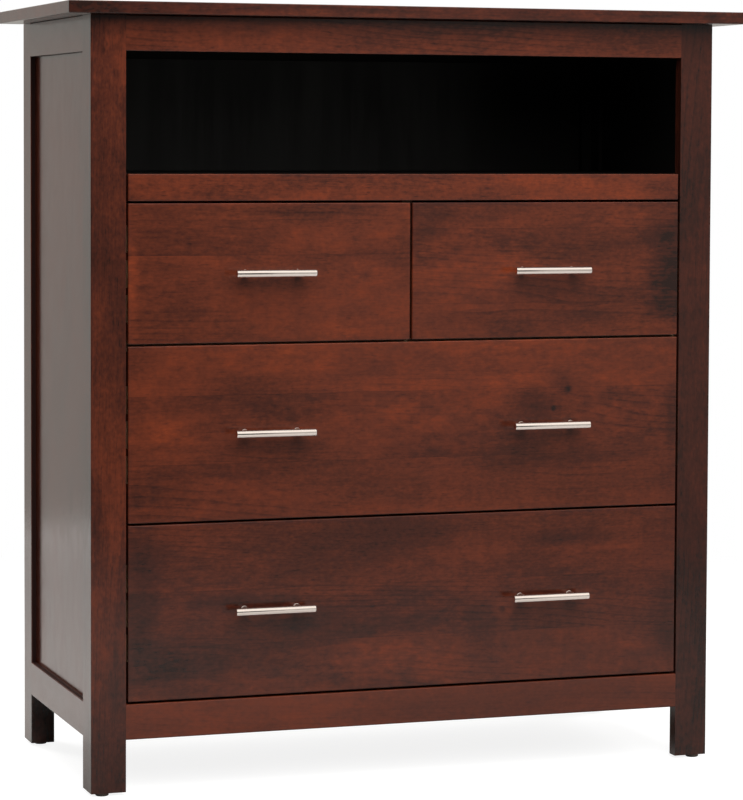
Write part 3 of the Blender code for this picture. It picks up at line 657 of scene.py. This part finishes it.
REAR_POSTS = ["rear_left_post", "rear_right_post"]
REAR_RAILS = ["rear_top_rail", "rear_bottom_rail"]
SIDE_PANELS = ["left_side_panel", "right_side_panel"]
SIDE_RAILS = [f"{side}_side_{level}_rail" for side in ("left", "right") for level in ("top", "bottom")]
FRAME_BOARDS = [
    # finish, boards, grain, start in the log, tone, figure, marks, the face with the marks, seams
    ("top", ["top_panel"], "X", (0.4, 0.02, -1.19), 0.0, 1.0, TOP_EDGE_SHADE, TOP_FACE, TOP_SEAMS, "Y"),
    ("front_left_post", ["front_left_post"], "Z", (2.3, 0.31, -0.46), -0.11, 1.15, LEFT_POST_SPOTS),
    ("front_right_post", ["front_right_post"], "Z", (5.1, 0.35, 0.58), -0.10, 0.8, RIGHT_POST_SHADE_AND_MARKS,
     POST_FACE),
    ("rear_posts", REAR_POSTS, "Z", (7.4, -0.1, 0.40), -0.06, 0.7, REAR_LEG_SHADE, REAR_LEG_FACE),
    ("side_rails", SIDE_RAILS, "Y", (3.2, 0.46, 0.1), -0.06, 0.6),
    ("side_panels", SIDE_PANELS, "Z", (9.2, 0.08, 0.60), -0.06, 0.6),
    ("top_rail", ["front_top_rail"], "X", (1.9, FRONT_START, -1.10), 0.0, 1.2, TOP_RAIL_SPOTS),
    ("shelf_rail", ["shelf_front_rail"], "X", (3.7, FRONT_START, -0.93), 0.09, 1.4, SHELF_RAIL_SPOTS),
    ("bottom_rail", ["front_bottom_rail"], "X", (6.3, FRONT_START, -0.08), 0.05, 0.8, BOTTOM_RAIL_SPOTS),
    ("rear_rails", REAR_RAILS, "X", (8.1, -0.16, -0.5), 0.0, 1.0),
]
for finish, boards, *settings in FRAME_BOARDS:
    dress(cherry(finish, *settings), *boards)
print("cherry finishes of the frame:", len(FRAME_BOARDS))

# %% [markdown]
# The drawer fronts are what the eye meets first, so each has its own list of marks: the clouds and flames
# that the stain left on that board, its knots, and the heights of its glued seams. The soft dark marks
# just under the pulls, and at and above them, are painted shadows of the pulls.

# %% Drawer fronts
# Painted shadow: the mark at (-0.213, 0.812) darkens the wood under the pull.
UPPER_LEFT_MARKS_AND_SHADE = [
    (-0.177, 0.941, 0.15, 0.014, 0.16), (-0.435, 0.938, 0.05, 0.012, 0.08),
    (-0.213, 0.812, 0.095, 0.026, 0.06), (-0.029, 0.832, 0.024, 0.04, 0.05),
    (-0.473, 0.82, 0.012, 0.085, -0.22), (-0.131, 0.742, 0.035, 0.012, -0.16),
    (-0.402, 0.776, 0.06, 0.018, 0.06), (-0.093, 0.772, 0.028, 0.014, 0.1),
    (-0.111, 0.868, 0.11, 0.005, 0.08), (-0.09, 0.835, 0.08, 0.03, -0.12),
    (-0.11, 0.945, 0.2, 0.03, 0.12),
]
# Painted shadow: the mark at (0.269, 0.807) darkens the wood under the pull.
UPPER_RIGHT_MARKS_AND_SHADE = [
    (0.03, 0.94, 0.05, 0.03, 0.2), (0.384, 0.928, 0.095, 0.02, -0.14),
    (0.269, 0.807, 0.115, 0.024, 0.06), (0.475, 0.84, 0.055, 0.1, 0.38),
    (0.12, 0.955, 0.11, 0.01, 0.12), (0.02, 0.9, 0.03, 0.016, 0.1),
    (0.33, 0.76, 0.06, 0.022, 0.1), (0.455, 0.744, 0.02, 0.01, -0.14),
    (0.05, 0.758, 0.05, 0.014, 0.08), (0.25, 0.95, 0.15, 0.02, 0.08),
    (0.11, 0.86, 0.14, 0.055, -0.17), (0.46, 0.86, 0.04, 0.05, 0.05),
    (0.46, 0.765, 0.05, 0.03, 0.03),
]
# Painted shadows: the marks at (-0.209, 0.558) and (0.224, 0.547) darken the wood under the pulls, those at
# (-0.265, 0.589) and (0.225, 0.588) at and above them.
MIDDLE_MARKS_AND_SHADE = [
    (-0.24, 0.696, 0.14, 0.024, -0.14), (-0.259, 0.64, 0.15, 0.032, 0.16),
    (-0.21, 0.612, 0.07, 0.018, 0.14), (-0.419, 0.574, 0.065, 0.028, -0.16),
    (-0.209, 0.558, 0.072, 0.014, 0.07), (-0.435, 0.488, 0.055, 0.04, 0.19),
    (-0.283, 0.482, 0.085, 0.03, -0.1), (0.28, 0.639, 0.007, 0.006, 0.4),
    (0.255, 0.607, 0.006, 0.005, 0.34), (0.215, 0.618, 0.045, 0.025, 0.2),
    (0.272, 0.652, 0.028, 0.018, 0.14), (0.224, 0.547, 0.055, 0.024, 0.06),
    (0.34, 0.549, 0.042, 0.016, -0.1), (0.472, 0.6, 0.012, 0.06, 0.16),
    (0.2, 0.714, 0.1, 0.01, -0.12), (-0.475, 0.705, 0.05, 0.04, 0.18),
    (0.06, 0.6, 0.17, 0.05, -0.13), (0.37, 0.6, 0.1, 0.05, -0.15),
    (0.24, 0.69, 0.28, 0.045, -0.1), (0.25, 0.49, 0.32, 0.045, 0.15),
    (-0.475, 0.48, 0.045, 0.045, 0.1), (-0.265, 0.589, 0.085, 0.013, 0.1),
    (0.225, 0.588, 0.085, 0.011, 0.09),
]
# Painted shadows: the mark at (-0.189, 0.263) darkens the wood under the left pull, those at (-0.265,
# 0.302) and (0.225, 0.301) at and above the pulls.
LOWER_MARKS_AND_SHADE = [
    (-0.457, 0.3, 0.026, 0.13, 0.18), (-0.323, 0.376, 0.11, 0.05, -0.08),
    (-0.189, 0.263, 0.04, 0.015, 0.1), (-0.404, 0.207, 0.045, 0.022, 0.16),
    (0.236, 0.392, 0.072, 0.01, 0.08), (0.164, 0.272, 0.007, 0.006, 0.32),
    (0.164, 0.27, 0.022, 0.024, -0.1), (0.13, 0.229, 0.026, 0.06, 0.12),
    (0.465, 0.242, 0.03, 0.065, 0.11), (0.1, 0.37, 0.07, 0.022, -0.12),
    (0.4, 0.205, 0.045, 0.014, -0.12), (0.33, 0.369, 0.11, 0.008, -0.1),
    (0.0, 0.405, 0.32, 0.045, 0.07), (0.465, 0.4, 0.05, 0.05, 0.12),
    (-0.46, 0.4, 0.07, 0.05, 0.1), (0.0, 0.3, 0.12, 0.05, -0.08),
    (-0.42, 0.19, 0.13, 0.05, 0.19), (-0.07, 0.19, 0.2, 0.04, -0.14),
    (-0.265, 0.302, 0.09, 0.016, 0.2), (0.225, 0.301, 0.085, 0.014, 0.13),
]
FRONT_FIGURE = 1.0
FRONTS = {
    # start in the log, tone, heights of the seams, marks
    "upper_left": ((0.75, FRONT_START, -0.86), 0.02, (0.868, 0.925), UPPER_LEFT_MARKS_AND_SHADE),
    "upper_right": ((2.05, FRONT_START, -0.84), -0.03, (0.785, 0.909), UPPER_RIGHT_MARKS_AND_SHADE),
    "middle": ((4.6, FRONT_START, -0.58), 0.01, (0.531, 0.642), MIDDLE_MARKS_AND_SHADE),
    "lower": ((7.9, FRONT_START, -0.29), -0.11, (0.236, 0.325), LOWER_MARKS_AND_SHADE),
}
for drawer, (start, tone, seams, spots) in FRONTS.items():
    finish = cherry(f"{drawer}_front", "X", start, tone, FRONT_FIGURE, spots, FRONT_FACE, seams)
    dress(finish, f"{drawer}_drawer_front")
print("drawer fronts:", len(FRONTS))

# %% [markdown]
# ## The rest of the woods
# The shelf is black like the bay, and the back panel is black inside the bay and brown behind: the black
# is painted shade for the dark bay. The drawer boxes and runners are maple under clear lacquer, and the
# other panels are birch plywood, whose layers show only on cut edges: stripes along the panel's thickness
# do that by themselves, because a flat face has one height.

# %% A group for plain wood
PALE_FIGURE = {
    # share in the tone, changes per metre along and across the grain, detail, roughness
    "broad": (0.55, (2.6, 26, 26), 3, 0.55),
    "lines": (0.30, (4, 190, 190), 2, 0.6),
    "flecks": (0.15, (40, 1100, 1100), 1),
}
PALE_SWAY_NOISE = ((1.5, 7, 7), 2)
PALE_SWAY = 0.05
FLECK_HEIGHT = 0.6


def make_pale_wood_group():
    """A mask from pale to dark, and a surface height, for plain close-grained wood."""
    tree, given, out = start_group("pale_wood", {"Grain": "vector"}, {"Tone": "value", "Height": "value"})
    sway = times(tree, noise(tree, given["Grain"], *PALE_SWAY_NOISE), PALE_SWAY)
    bend = add(tree, "CombineXYZ", {"Y": sway, "Z": sway}).outputs[0]
    grain = vector_calc(tree, "ADD", given["Grain"], bend)
    layers = {name: noise(tree, grain, *settings[1:]) for name, settings in PALE_FIGURE.items()}
    shares = [times(tree, layers[name], settings[0]) for name, settings in PALE_FIGURE.items()]
    tree.links.new(total(tree, shares), out.inputs["Tone"])
    height = calc(tree, "MULTIPLY_ADD", layers["flecks"], FLECK_HEIGHT, layers["lines"])
    tree.links.new(height, out.inputs["Height"])
    return tree


PALE_WOOD_GROUP = make_pale_wood_group()
print("pale wood group:", len(PALE_WOOD_GROUP.nodes), "nodes")

# %% Black painted shade, maple and plywood
PALE_STOPS = (0.30, 0.52, 0.72)
MAPLE = ((0.36, 0.225, 0.115), (0.52, 0.355, 0.205), (0.62, 0.455, 0.285))
BIRCH = ((0.38, 0.255, 0.140), (0.53, 0.385, 0.235), (0.62, 0.475, 0.315))
BROWN_PLY = ((0.050, 0.021, 0.011), (0.082, 0.037, 0.019), (0.118, 0.057, 0.030))
BLACK_SHELF_SHADE = ((0.0025, 0.0022, 0.0021), (0.0045, 0.0040, 0.0038), (0.0065, 0.0058, 0.0054))
STAIN_ROUGHNESS = 0.55
SHELF_SPECULAR = 0.2
BOX_ROUGHNESS = 0.40
RUNNER_ROUGHNESS = 0.45
BIRCH_ROUGHNESS = 0.42
ROUGHNESS_SPREAD = 0.05
ROUGHNESS_TONES = (0.35, 0.65)
PALE_RELIEF = (0.10, 0.0004)  # strength and distance of the Bump node
PLY_COLOUR = (0.17, 0.085, 0.035, 1.0)
PLY_SHARE = 0.55
PLY_THICKNESS = 0.0014
PLY_START_STEP = 0.9  # how far apart in the log the panels begin
DRAWERS = ("upper_left", "upper_right", "middle", "lower")


def pale_wood(name, grain_axis, start, colours, roughness, plies=None):
    """Wood with little figure. Plies, where given, are (axis, low face, thickness, count)."""
    material, tree, shader, place = start_material(name)
    grain = along_grain(tree, place, grain_axis, start)
    wood = add(tree, "Group", {"Grain": grain}, node_tree=PALE_WOOD_GROUP)
    colour = tones(tree, wood.outputs["Tone"], list(zip(PALE_STOPS, colours)))
    if plies:
        axis, low, thickness, count = plies
        depth = axes_of(tree, place)[axis]
        layer = times(tree, calc(tree, "SUBTRACT", depth, low), count / thickness)
        dark = calc(tree, "GREATER_THAN", calc(tree, "PINGPONG", layer, 1.0), 0.5)
        colour = blend(tree, times(tree, dark, PLY_SHARE), colour, PLY_COLOUR)
    # Painted shade: black inside the bay.
    colour = blend(tree, mask_of(tree, place, BAY_GROUP), colour, BAY_SHADE_BLACK)
    tree.links.new(colour, shader.inputs["Base Color"])
    ends = (roughness - ROUGHNESS_SPREAD, roughness + ROUGHNESS_SPREAD)
    tree.links.new(fade(tree, wood.outputs["Tone"], *ROUGHNESS_TONES, *ends), shader.inputs["Roughness"])
    add_relief(tree, shader, wood.outputs["Height"], *PALE_RELIEF)
    return material


# The shelf is painted black: painted shade, like the inside of the bay.
black_stain = pale_wood("black_stain", "X", (0.3, 0.2, 0.1), BLACK_SHELF_SHADE, STAIN_ROUGHNESS)
shelf_shader = black_stain.node_tree.nodes["Principled BSDF"]
shelf_shader.inputs["Specular IOR Level"].default_value = SHELF_SPECULAR
dress(black_stain, "media_shelf")
dress(pale_wood("brown_plywood", "Z", (1.7, 0.4, 0.3), BROWN_PLY, STAIN_ROUGHNESS), "back_panel")

maple_sides = pale_wood("maple_sides", "Y", (1.1, 0.3, 0.2), MAPLE, BOX_ROUGHNESS)
maple_backs = pale_wood("maple_backs", "X", (2.7, 0.1, 0.6), MAPLE, BOX_ROUGHNESS)
for drawer in DRAWERS:
    dress(maple_sides, f"{drawer}_drawer_left_side", f"{drawer}_drawer_right_side")
    dress(maple_backs, f"{drawer}_drawer_back")
runners = [name for name in nodes if name.endswith("_runner")]
dress(pale_wood("maple_runners", "Y", (4.2, 0.7, 0.9), MAPLE, RUNNER_ROUGHNESS), *runners)

ply_axes = {"dust_panel": "Z", "bottom_panel": "Z", "drawer_divider": "X"}
ply_axes.update({f"{drawer}_drawer_bottom": "Z" for drawer in DRAWERS})
for number, (name, axis) in enumerate(ply_axes.items()):
    low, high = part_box(name)
    across = "XYZ".index(axis)
    thickness = (high - low)[across]
    count = 2 * round(thickness / PLY_THICKNESS / 2) + 1
    start = (PLY_START_STEP * number, 0.3, 0.4)
    layers = (axis, low[across], thickness, count)
    dress(pale_wood(f"birch_{name}", "X", start, BIRCH, BIRCH_ROUGHNESS, layers), name)
print("runners:", len(runners), "plywood panels:", len(ply_axes))

# %% [markdown]
# ## Pulls
# Each pull is a round bar on two posts, in brushed nickel. Fine lines along the bar stretch its highlights,
# as real brushing does, so the group puts out a roughness and a height that change quickly round the bar
# and slowly along it. Behind the bars, where brushing doesn't reach, the metal is duller, and so the posts
# don't just mirror the wood that they stand on.

# %% Brushed nickel
BRUSH_NOISE = ((25, 2600, 2600), 2, 0.6)
SMEAR_NOISE = ((60, 300, 300), 2)
METAL_ROUGHNESS = 0.07
BRUSH_ROUGHNESS = 0.12
SMEAR_ROUGHNESS = 0.06
POST_ROUGHNESS = 0.40
BEHIND_BAR = 0.0125  # how far behind the front of a pull its posts come out of the bar
POST_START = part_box("lower_drawer_pull_1")[0].y + BEHIND_BAR
POST_FADE = 0.002
BRUSH_RELIEF = (0.06, 0.0002)  # strength and distance of the Bump node
NICKEL_COLOUR = (0.90, 0.806, 0.765, 1.0)


def make_brush_group():
    """Fine lines along X, as a roughness and a height."""
    tree, given, out = start_group(
        "brushed_lines", {"Place": "vector"}, {"Roughness": "value", "Height": "value"}
    )
    lines = noise(tree, given["Place"], *BRUSH_NOISE)
    smears = noise(tree, given["Place"], *SMEAR_NOISE)
    rough = total(tree, [
        METAL_ROUGHNESS,
        times(tree, lines, BRUSH_ROUGHNESS),
        times(tree, smears, SMEAR_ROUGHNESS),
    ])
    depth = axes_of(tree, given["Place"])["Y"]
    dull = fade(tree, depth, POST_START, POST_START + POST_FADE, 0.0, POST_ROUGHNESS)
    tree.links.new(calc(tree, "MAXIMUM", rough, dull), out.inputs["Roughness"])
    tree.links.new(lines, out.inputs["Height"])
    return tree


BRUSH_GROUP = make_brush_group()


def brushed(name, colour):
    """A metal with brushed lines."""
    material, tree, shader, place = start_material(name)
    brush = add(tree, "Group", {"Place": place}, node_tree=BRUSH_GROUP)
    shader.inputs["Metallic"].default_value = 1.0
    shader.inputs["Base Color"].default_value = colour
    tree.links.new(brush.outputs["Roughness"], shader.inputs["Roughness"])
    add_relief(tree, shader, brush.outputs["Height"], *BRUSH_RELIEF)
    return material


NICKEL = brushed("brushed_nickel", NICKEL_COLOUR)
print("nickel ready")

# %% [markdown]
# Added pieces are drawn as bmeshes: rods, blocks and profiles spun round an axis. A Boolean modifier welds
# closed shapes into one skin or cuts one from another, so that nothing is left inside.

# %% Helpers for shapes
TO_REAR = Matrix.Rotation(-math.pi / 2, 4, "X")
SHARP_ANGLE = math.radians(35)  # edges with a sharper turn than this stay crisp
EASE_SEGMENTS = 3
SPIN_MERGE = 0.000001  # points of a spun shape that meet on its axis become one
SLIVER = 0.00001  # what a Boolean leaves that is narrower than this is merged


def shaped(name, bm, material, body):
    """Make a bmesh a finished piece that rides on a body."""
    bmesh.ops.recalc_face_normals(bm, faces=bm.faces)
    mesh = mesh_from(bm, name)
    mesh.materials.append(material)
    mesh.shade_smooth()
    mesh.set_sharp_from_angle(angle=SHARP_ANGLE)
    piece = placed(name, mesh)
    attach(piece, body)
    return piece


def add_rod(bm, start, end, radius, sides, ease):
    """Add a round rod between two points to an empty bmesh, with its end rims eased."""
    start, end = Vector(start), Vector(end)
    run = end - start
    turn = Vector((0, 0, 1)).rotation_difference(run).to_matrix().to_4x4()
    bmesh.ops.create_cone(
        bm, cap_ends=True, segments=sides, radius1=radius, radius2=radius, depth=run.length,
        matrix=Matrix.Translation((start + end) / 2) @ turn,
    )
    caps = [face for face in bm.faces if len(face.verts) == sides]
    rims = [edge for face in caps for edge in face.edges]
    bmesh.ops.bevel(
        bm, geom=rims, offset=ease, segments=EASE_SEGMENTS, profile=0.5, affect="EDGES", material=-1,
        clamp_overlap=True,
    )


def spun(profile, steps):
    """A closed shape spun about the Z axis from (radius, height) points that start and end on the axis."""
    bm = bmesh.new()
    verts = [bm.verts.new((radius, 0, height)) for radius, height in profile]
    edges = [bm.edges.new(pair) for pair in zip(verts, verts[1:])]
    bmesh.ops.spin(
        bm, geom=verts + edges, cent=(0, 0, 0), axis=(0, 0, 1), angle=math.tau, steps=steps, use_merge=True
    )
    bmesh.ops.remove_doubles(bm, verts=bm.verts, dist=SPIN_MERGE)
    bmesh.ops.recalc_face_normals(bm, faces=bm.faces)
    return bm


def add_copies(bm, shape, places):
    """Add copies of another bmesh at places, turned from upright to the rear. The other one is used up."""
    pattern = mesh_from(shape, "pattern")
    for place in places:
        copy = pattern.copy()
        copy.transform(Matrix.Translation(place) @ TO_REAR)
        bm.from_mesh(copy)
        bpy.data.meshes.remove(copy)
    bpy.data.meshes.remove(pattern)


def joined(first, second, operation):
    """Weld one bmesh to another, or cut it away, with a Boolean modifier. Returns a new bmesh."""
    helpers = []
    for bm in (first, second):
        helpers.append(placed("helper", mesh_from(bm, "helper")))
    modifier = helpers[0].modifiers.new("weld", "BOOLEAN")
    modifier.operation = operation
    modifier.solver = "EXACT"
    modifier.object = helpers[1]
    result = bmesh.new()
    result.from_object(helpers[0], bpy.context.evaluated_depsgraph_get())
    bmesh.ops.remove_doubles(result, verts=result.verts, dist=SLIVER)
    bmesh.ops.dissolve_degenerate(result, edges=result.edges, dist=SLIVER)
    for helper in helpers:
        mesh = helper.data
        bpy.data.objects.remove(helper)
        bpy.data.meshes.remove(mesh)
    return result


print("shape helpers ready")

# %% [markdown]
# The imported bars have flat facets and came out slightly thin, so smooth ones of half an inch take their
# place, on the same axis and with the same length. A post is spun from a profile that flares at its foot,
# where it catches the light above the bar.

# %% Bars and posts
BAR_SIDES = 64
BAR_RADIUS = 0.00635
END_EASE = 0.0008
POST_SIDES = 40
POST_SPACING = 0.089
POST_RADIUS = 0.0049
FOOT_RADIUS = 0.0054
FOOT_HEIGHT = 0.0005


def make_pull(node, body):
    """A smooth bar on two posts, in the place of a packed pull. Returns where its posts meet the wood."""
    low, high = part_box(node)
    middle = (low + high) / 2
    bar_y = low.y + (high.z - low.z) / 2
    bar = bmesh.new()
    add_rod(bar, (low.x, bar_y, middle.z), (high.x, bar_y, middle.z), BAR_RADIUS, BAR_SIDES, END_EASE)
    reach = high.y - bar_y
    neck = reach - FOOT_HEIGHT
    profile = [(0, 0), (POST_RADIUS, 0), (POST_RADIUS, neck), (FOOT_RADIUS, reach), (0, reach)]
    feet = [Vector((middle.x + side * POST_SPACING / 2, high.y, middle.z)) for side in (-1, 1)]
    posts = bmesh.new()
    starts = [Vector((foot.x, bar_y, foot.z)) for foot in feet]
    add_copies(posts, spun(profile, POST_SIDES), starts)
    piece = shaped(node + "_bar", joined(bar, posts, "UNION"), NICKEL, body)
    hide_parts(node)
    return feet


pull_feet = {}
for node in sorted(name for name in nodes if "_pull" in name):
    drawer = node.split("_pull")[0]
    pull_feet.setdefault(drawer, []).extend(make_pull(node, drawer))

# %% [markdown]
# Behind each post a screw comes through the drawer front, and its round head with a cross recess shows
# when the drawer is open. A head is spun from a profile and its recess cut with two crossed blades. Copies
# of that one shape then go to every post of a drawer.

# %% Screw heads inside the drawers
HEAD_RADIUS = 0.0045
HEAD_HEIGHT = 0.0026
HEAD_STEPS = 32
DOME_SHARE = 0.6  # the part of the head's height that is domed
RECESS_LENGTH = 0.0046
RECESS_WIDTH = 0.0010
RECESS_DEPTH = 0.0012
ARC_STEPS = 6
QUARTER_TURN = [math.radians(90 * step / ARC_STEPS) for step in range(ARC_STEPS + 1)]
SCREW_STEEL = brushed("screw_steel", (0.55, 0.53, 0.50, 1.0))


def add_block(bm, low, high):
    """Add a rectangular block between two corners to a bmesh."""
    low, high = Vector(low), Vector(high)
    bmesh.ops.create_cube(
        bm, size=1.0, matrix=Matrix.Translation((low + high) / 2) @ Matrix.Diagonal((*(high - low), 1.0))
    )


def make_screw_head():
    """A pan head with a cross recess, standing on the XY plane."""
    rise = HEAD_HEIGHT * DOME_SHARE
    rim = HEAD_HEIGHT - rise
    dome = [(HEAD_RADIUS * math.cos(a), rim + rise * math.sin(a)) for a in QUARTER_TURN[:-1]]
    profile = [(0, 0), (HEAD_RADIUS, 0)] + dome + [(0, HEAD_HEIGHT)]
    half_length = RECESS_LENGTH / 2
    half_width = RECESS_WIDTH / 2
    bottom = HEAD_HEIGHT - RECESS_DEPTH
    past = HEAD_HEIGHT * 2
    cross = bmesh.new()
    add_block(cross, (-half_length, -half_width, bottom), (half_length, half_width, past))
    other = bmesh.new()
    add_block(other, (-half_width, -half_length, bottom), (half_width, half_length, past))
    return joined(spun(profile, HEAD_STEPS), joined(cross, other, "UNION"), "DIFFERENCE")


for drawer, feet in pull_feet.items():
    inside_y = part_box(drawer + "_front")[1].y
    bm = bmesh.new()
    add_copies(bm, make_screw_head(), [Vector((foot.x, inside_y, foot.z)) for foot in feet])
    shaped(drawer + "_screws", bm, SCREW_STEEL, drawer)
print("screw heads:", sum(len(feet) for feet in pull_feet.values()))

# %% [markdown]
# ## Joints and brads
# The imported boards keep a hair's breadth between them, where the real frame is glued and lacquered over.
# Thin strips fill that gap at the ends of the rails, so the frame reads as one. Behind, brads hold the
# back panel to the frame: shallow round heads in a row along each edge.

# %% Glue lines
GLUE_GAP = 0.0003
EDGE_EASE = 0.0015
GLUE_INSET = 0.0016  # the strips stop short of the rails' own eased edges
BLOCK_FACES = 6


def cover_eased_edge(low, high, end):
    """Widen a strip of a side frame over the post's eased edge, and keep it as shallow as that edge."""
    if end:
        low.y -= EDGE_EASE
    else:
        high.y += EDGE_EASE
    if low.x < 0:
        high.x = low.x + EDGE_EASE
    else:
        low.x = high.x - EDGE_EASE


def rail_joints(bm, rail, near, far, axis):
    """Add the two strips that fill the gaps between a rail and the posts at its ends."""
    for post, end in ((near, 1), (far, 0)):
        low, high = (corner.copy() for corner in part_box(rail))
        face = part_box(post)[end][axis]
        low[axis], high[axis] = (face, face + GLUE_GAP) if end else (face - GLUE_GAP, face)
        low.z += GLUE_INSET
        high.z -= GLUE_INSET
        if axis == 1:
            cover_eased_edge(low, high, end)
        add_block(bm, low, high)


bm = bmesh.new()
for level in ("top", "bottom"):
    rail_joints(bm, f"front_{level}_rail", "front_left_post", "front_right_post", 0)
    for side in ("left", "right"):
        rail_joints(bm, f"{side}_side_{level}_rail", f"front_{side}_post", f"rear_{side}_post", 1)
glue_cherry = cherry("glue_lines", "Z", (1.3, 0.2, 0.7), -0.10, 0.5)
glue = shaped("glue_lines", bm, glue_cherry, "case")
print("glue strips:", len(glue.data.polygons) // BLOCK_FACES)

# %% Brads in the back panel
BRAD_RADIUS = 0.0019
BRAD_TOP_RADIUS = 0.00152
BRAD_RISE = 0.00022
BRAD_SIDES = 16
BRAD_STEP = 0.10
BRAD_EDGE = 0.009


def spaced(low, high, step):
    """Evenly spaced places from low to high, about a step apart."""
    count = max(1, round((high - low) / step))
    return [low + (high - low) * number / count for number in range(count + 1)]


low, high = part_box("back_panel")
xs = spaced(low.x + BRAD_EDGE, high.x - BRAD_EDGE, BRAD_STEP)
zs = spaced(low.z + BRAD_EDGE, high.z - BRAD_EDGE, BRAD_STEP)
places = [Vector((x, high.y, z)) for x in xs for z in (zs[0], zs[-1])]
places += [Vector((x, high.y, z)) for x in (xs[0], xs[-1]) for z in zs[1:-1]]
brad = spun([(0, 0), (BRAD_RADIUS, 0), (BRAD_TOP_RADIUS, BRAD_RISE), (0, BRAD_RISE)], BRAD_SIDES)
bm = bmesh.new()
add_copies(bm, brad, places)
shaped("back_brads", bm, SCREW_STEEL, "case")
print("brads:", len(places))

# %% [markdown]
# ## Glides
# Under each leg sits a dark round glide with a softly rounded rim. A profile spun round its axis makes it.

# %% Glides
GLIDE_STEPS = 48
GRIME_NOISE = ((140, 140, 140), 3)
GRIME_TONES = [(0.3, (0.020, 0.013, 0.010)), (0.7, (0.052, 0.035, 0.026))]
GLIDE_ROUGHNESS = (0.3, 0.7, 0.35, 0.6)

GLIDE_PLASTIC, tree, shader, place = start_material("glide_plastic")
grime = noise(tree, place, *GRIME_NOISE)
tree.links.new(tones(tree, grime, GRIME_TONES), shader.inputs["Base Color"])
tree.links.new(fade(tree, grime, *GLIDE_ROUGHNESS), shader.inputs["Roughness"])


def make_glide(node):
    """A smooth glide in the place of a packed one, without the nail inside the leg."""
    low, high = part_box(node)
    leg_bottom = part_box(node.replace("glide", "post"))[0].z
    middle = (low + high) / 2
    radius = (high.x - low.x) / 2
    top = leg_bottom - low.z
    rim = top / 2
    arc = [(radius - rim * (1 - math.sin(a)), rim * (1 - math.cos(a))) for a in QUARTER_TURN]
    bm = spun([(0.0, 0.0)] + arc + [(radius, top), (0.0, top)], GLIDE_STEPS)
    bm.transform(Matrix.Translation((middle.x, middle.y, low.z)))
    piece = shaped(node + "_disc", bm, GLIDE_PLASTIC, "case")
    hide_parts(node)


for node in sorted(name for name in nodes if name.endswith("_glide")):
    make_glide(node)
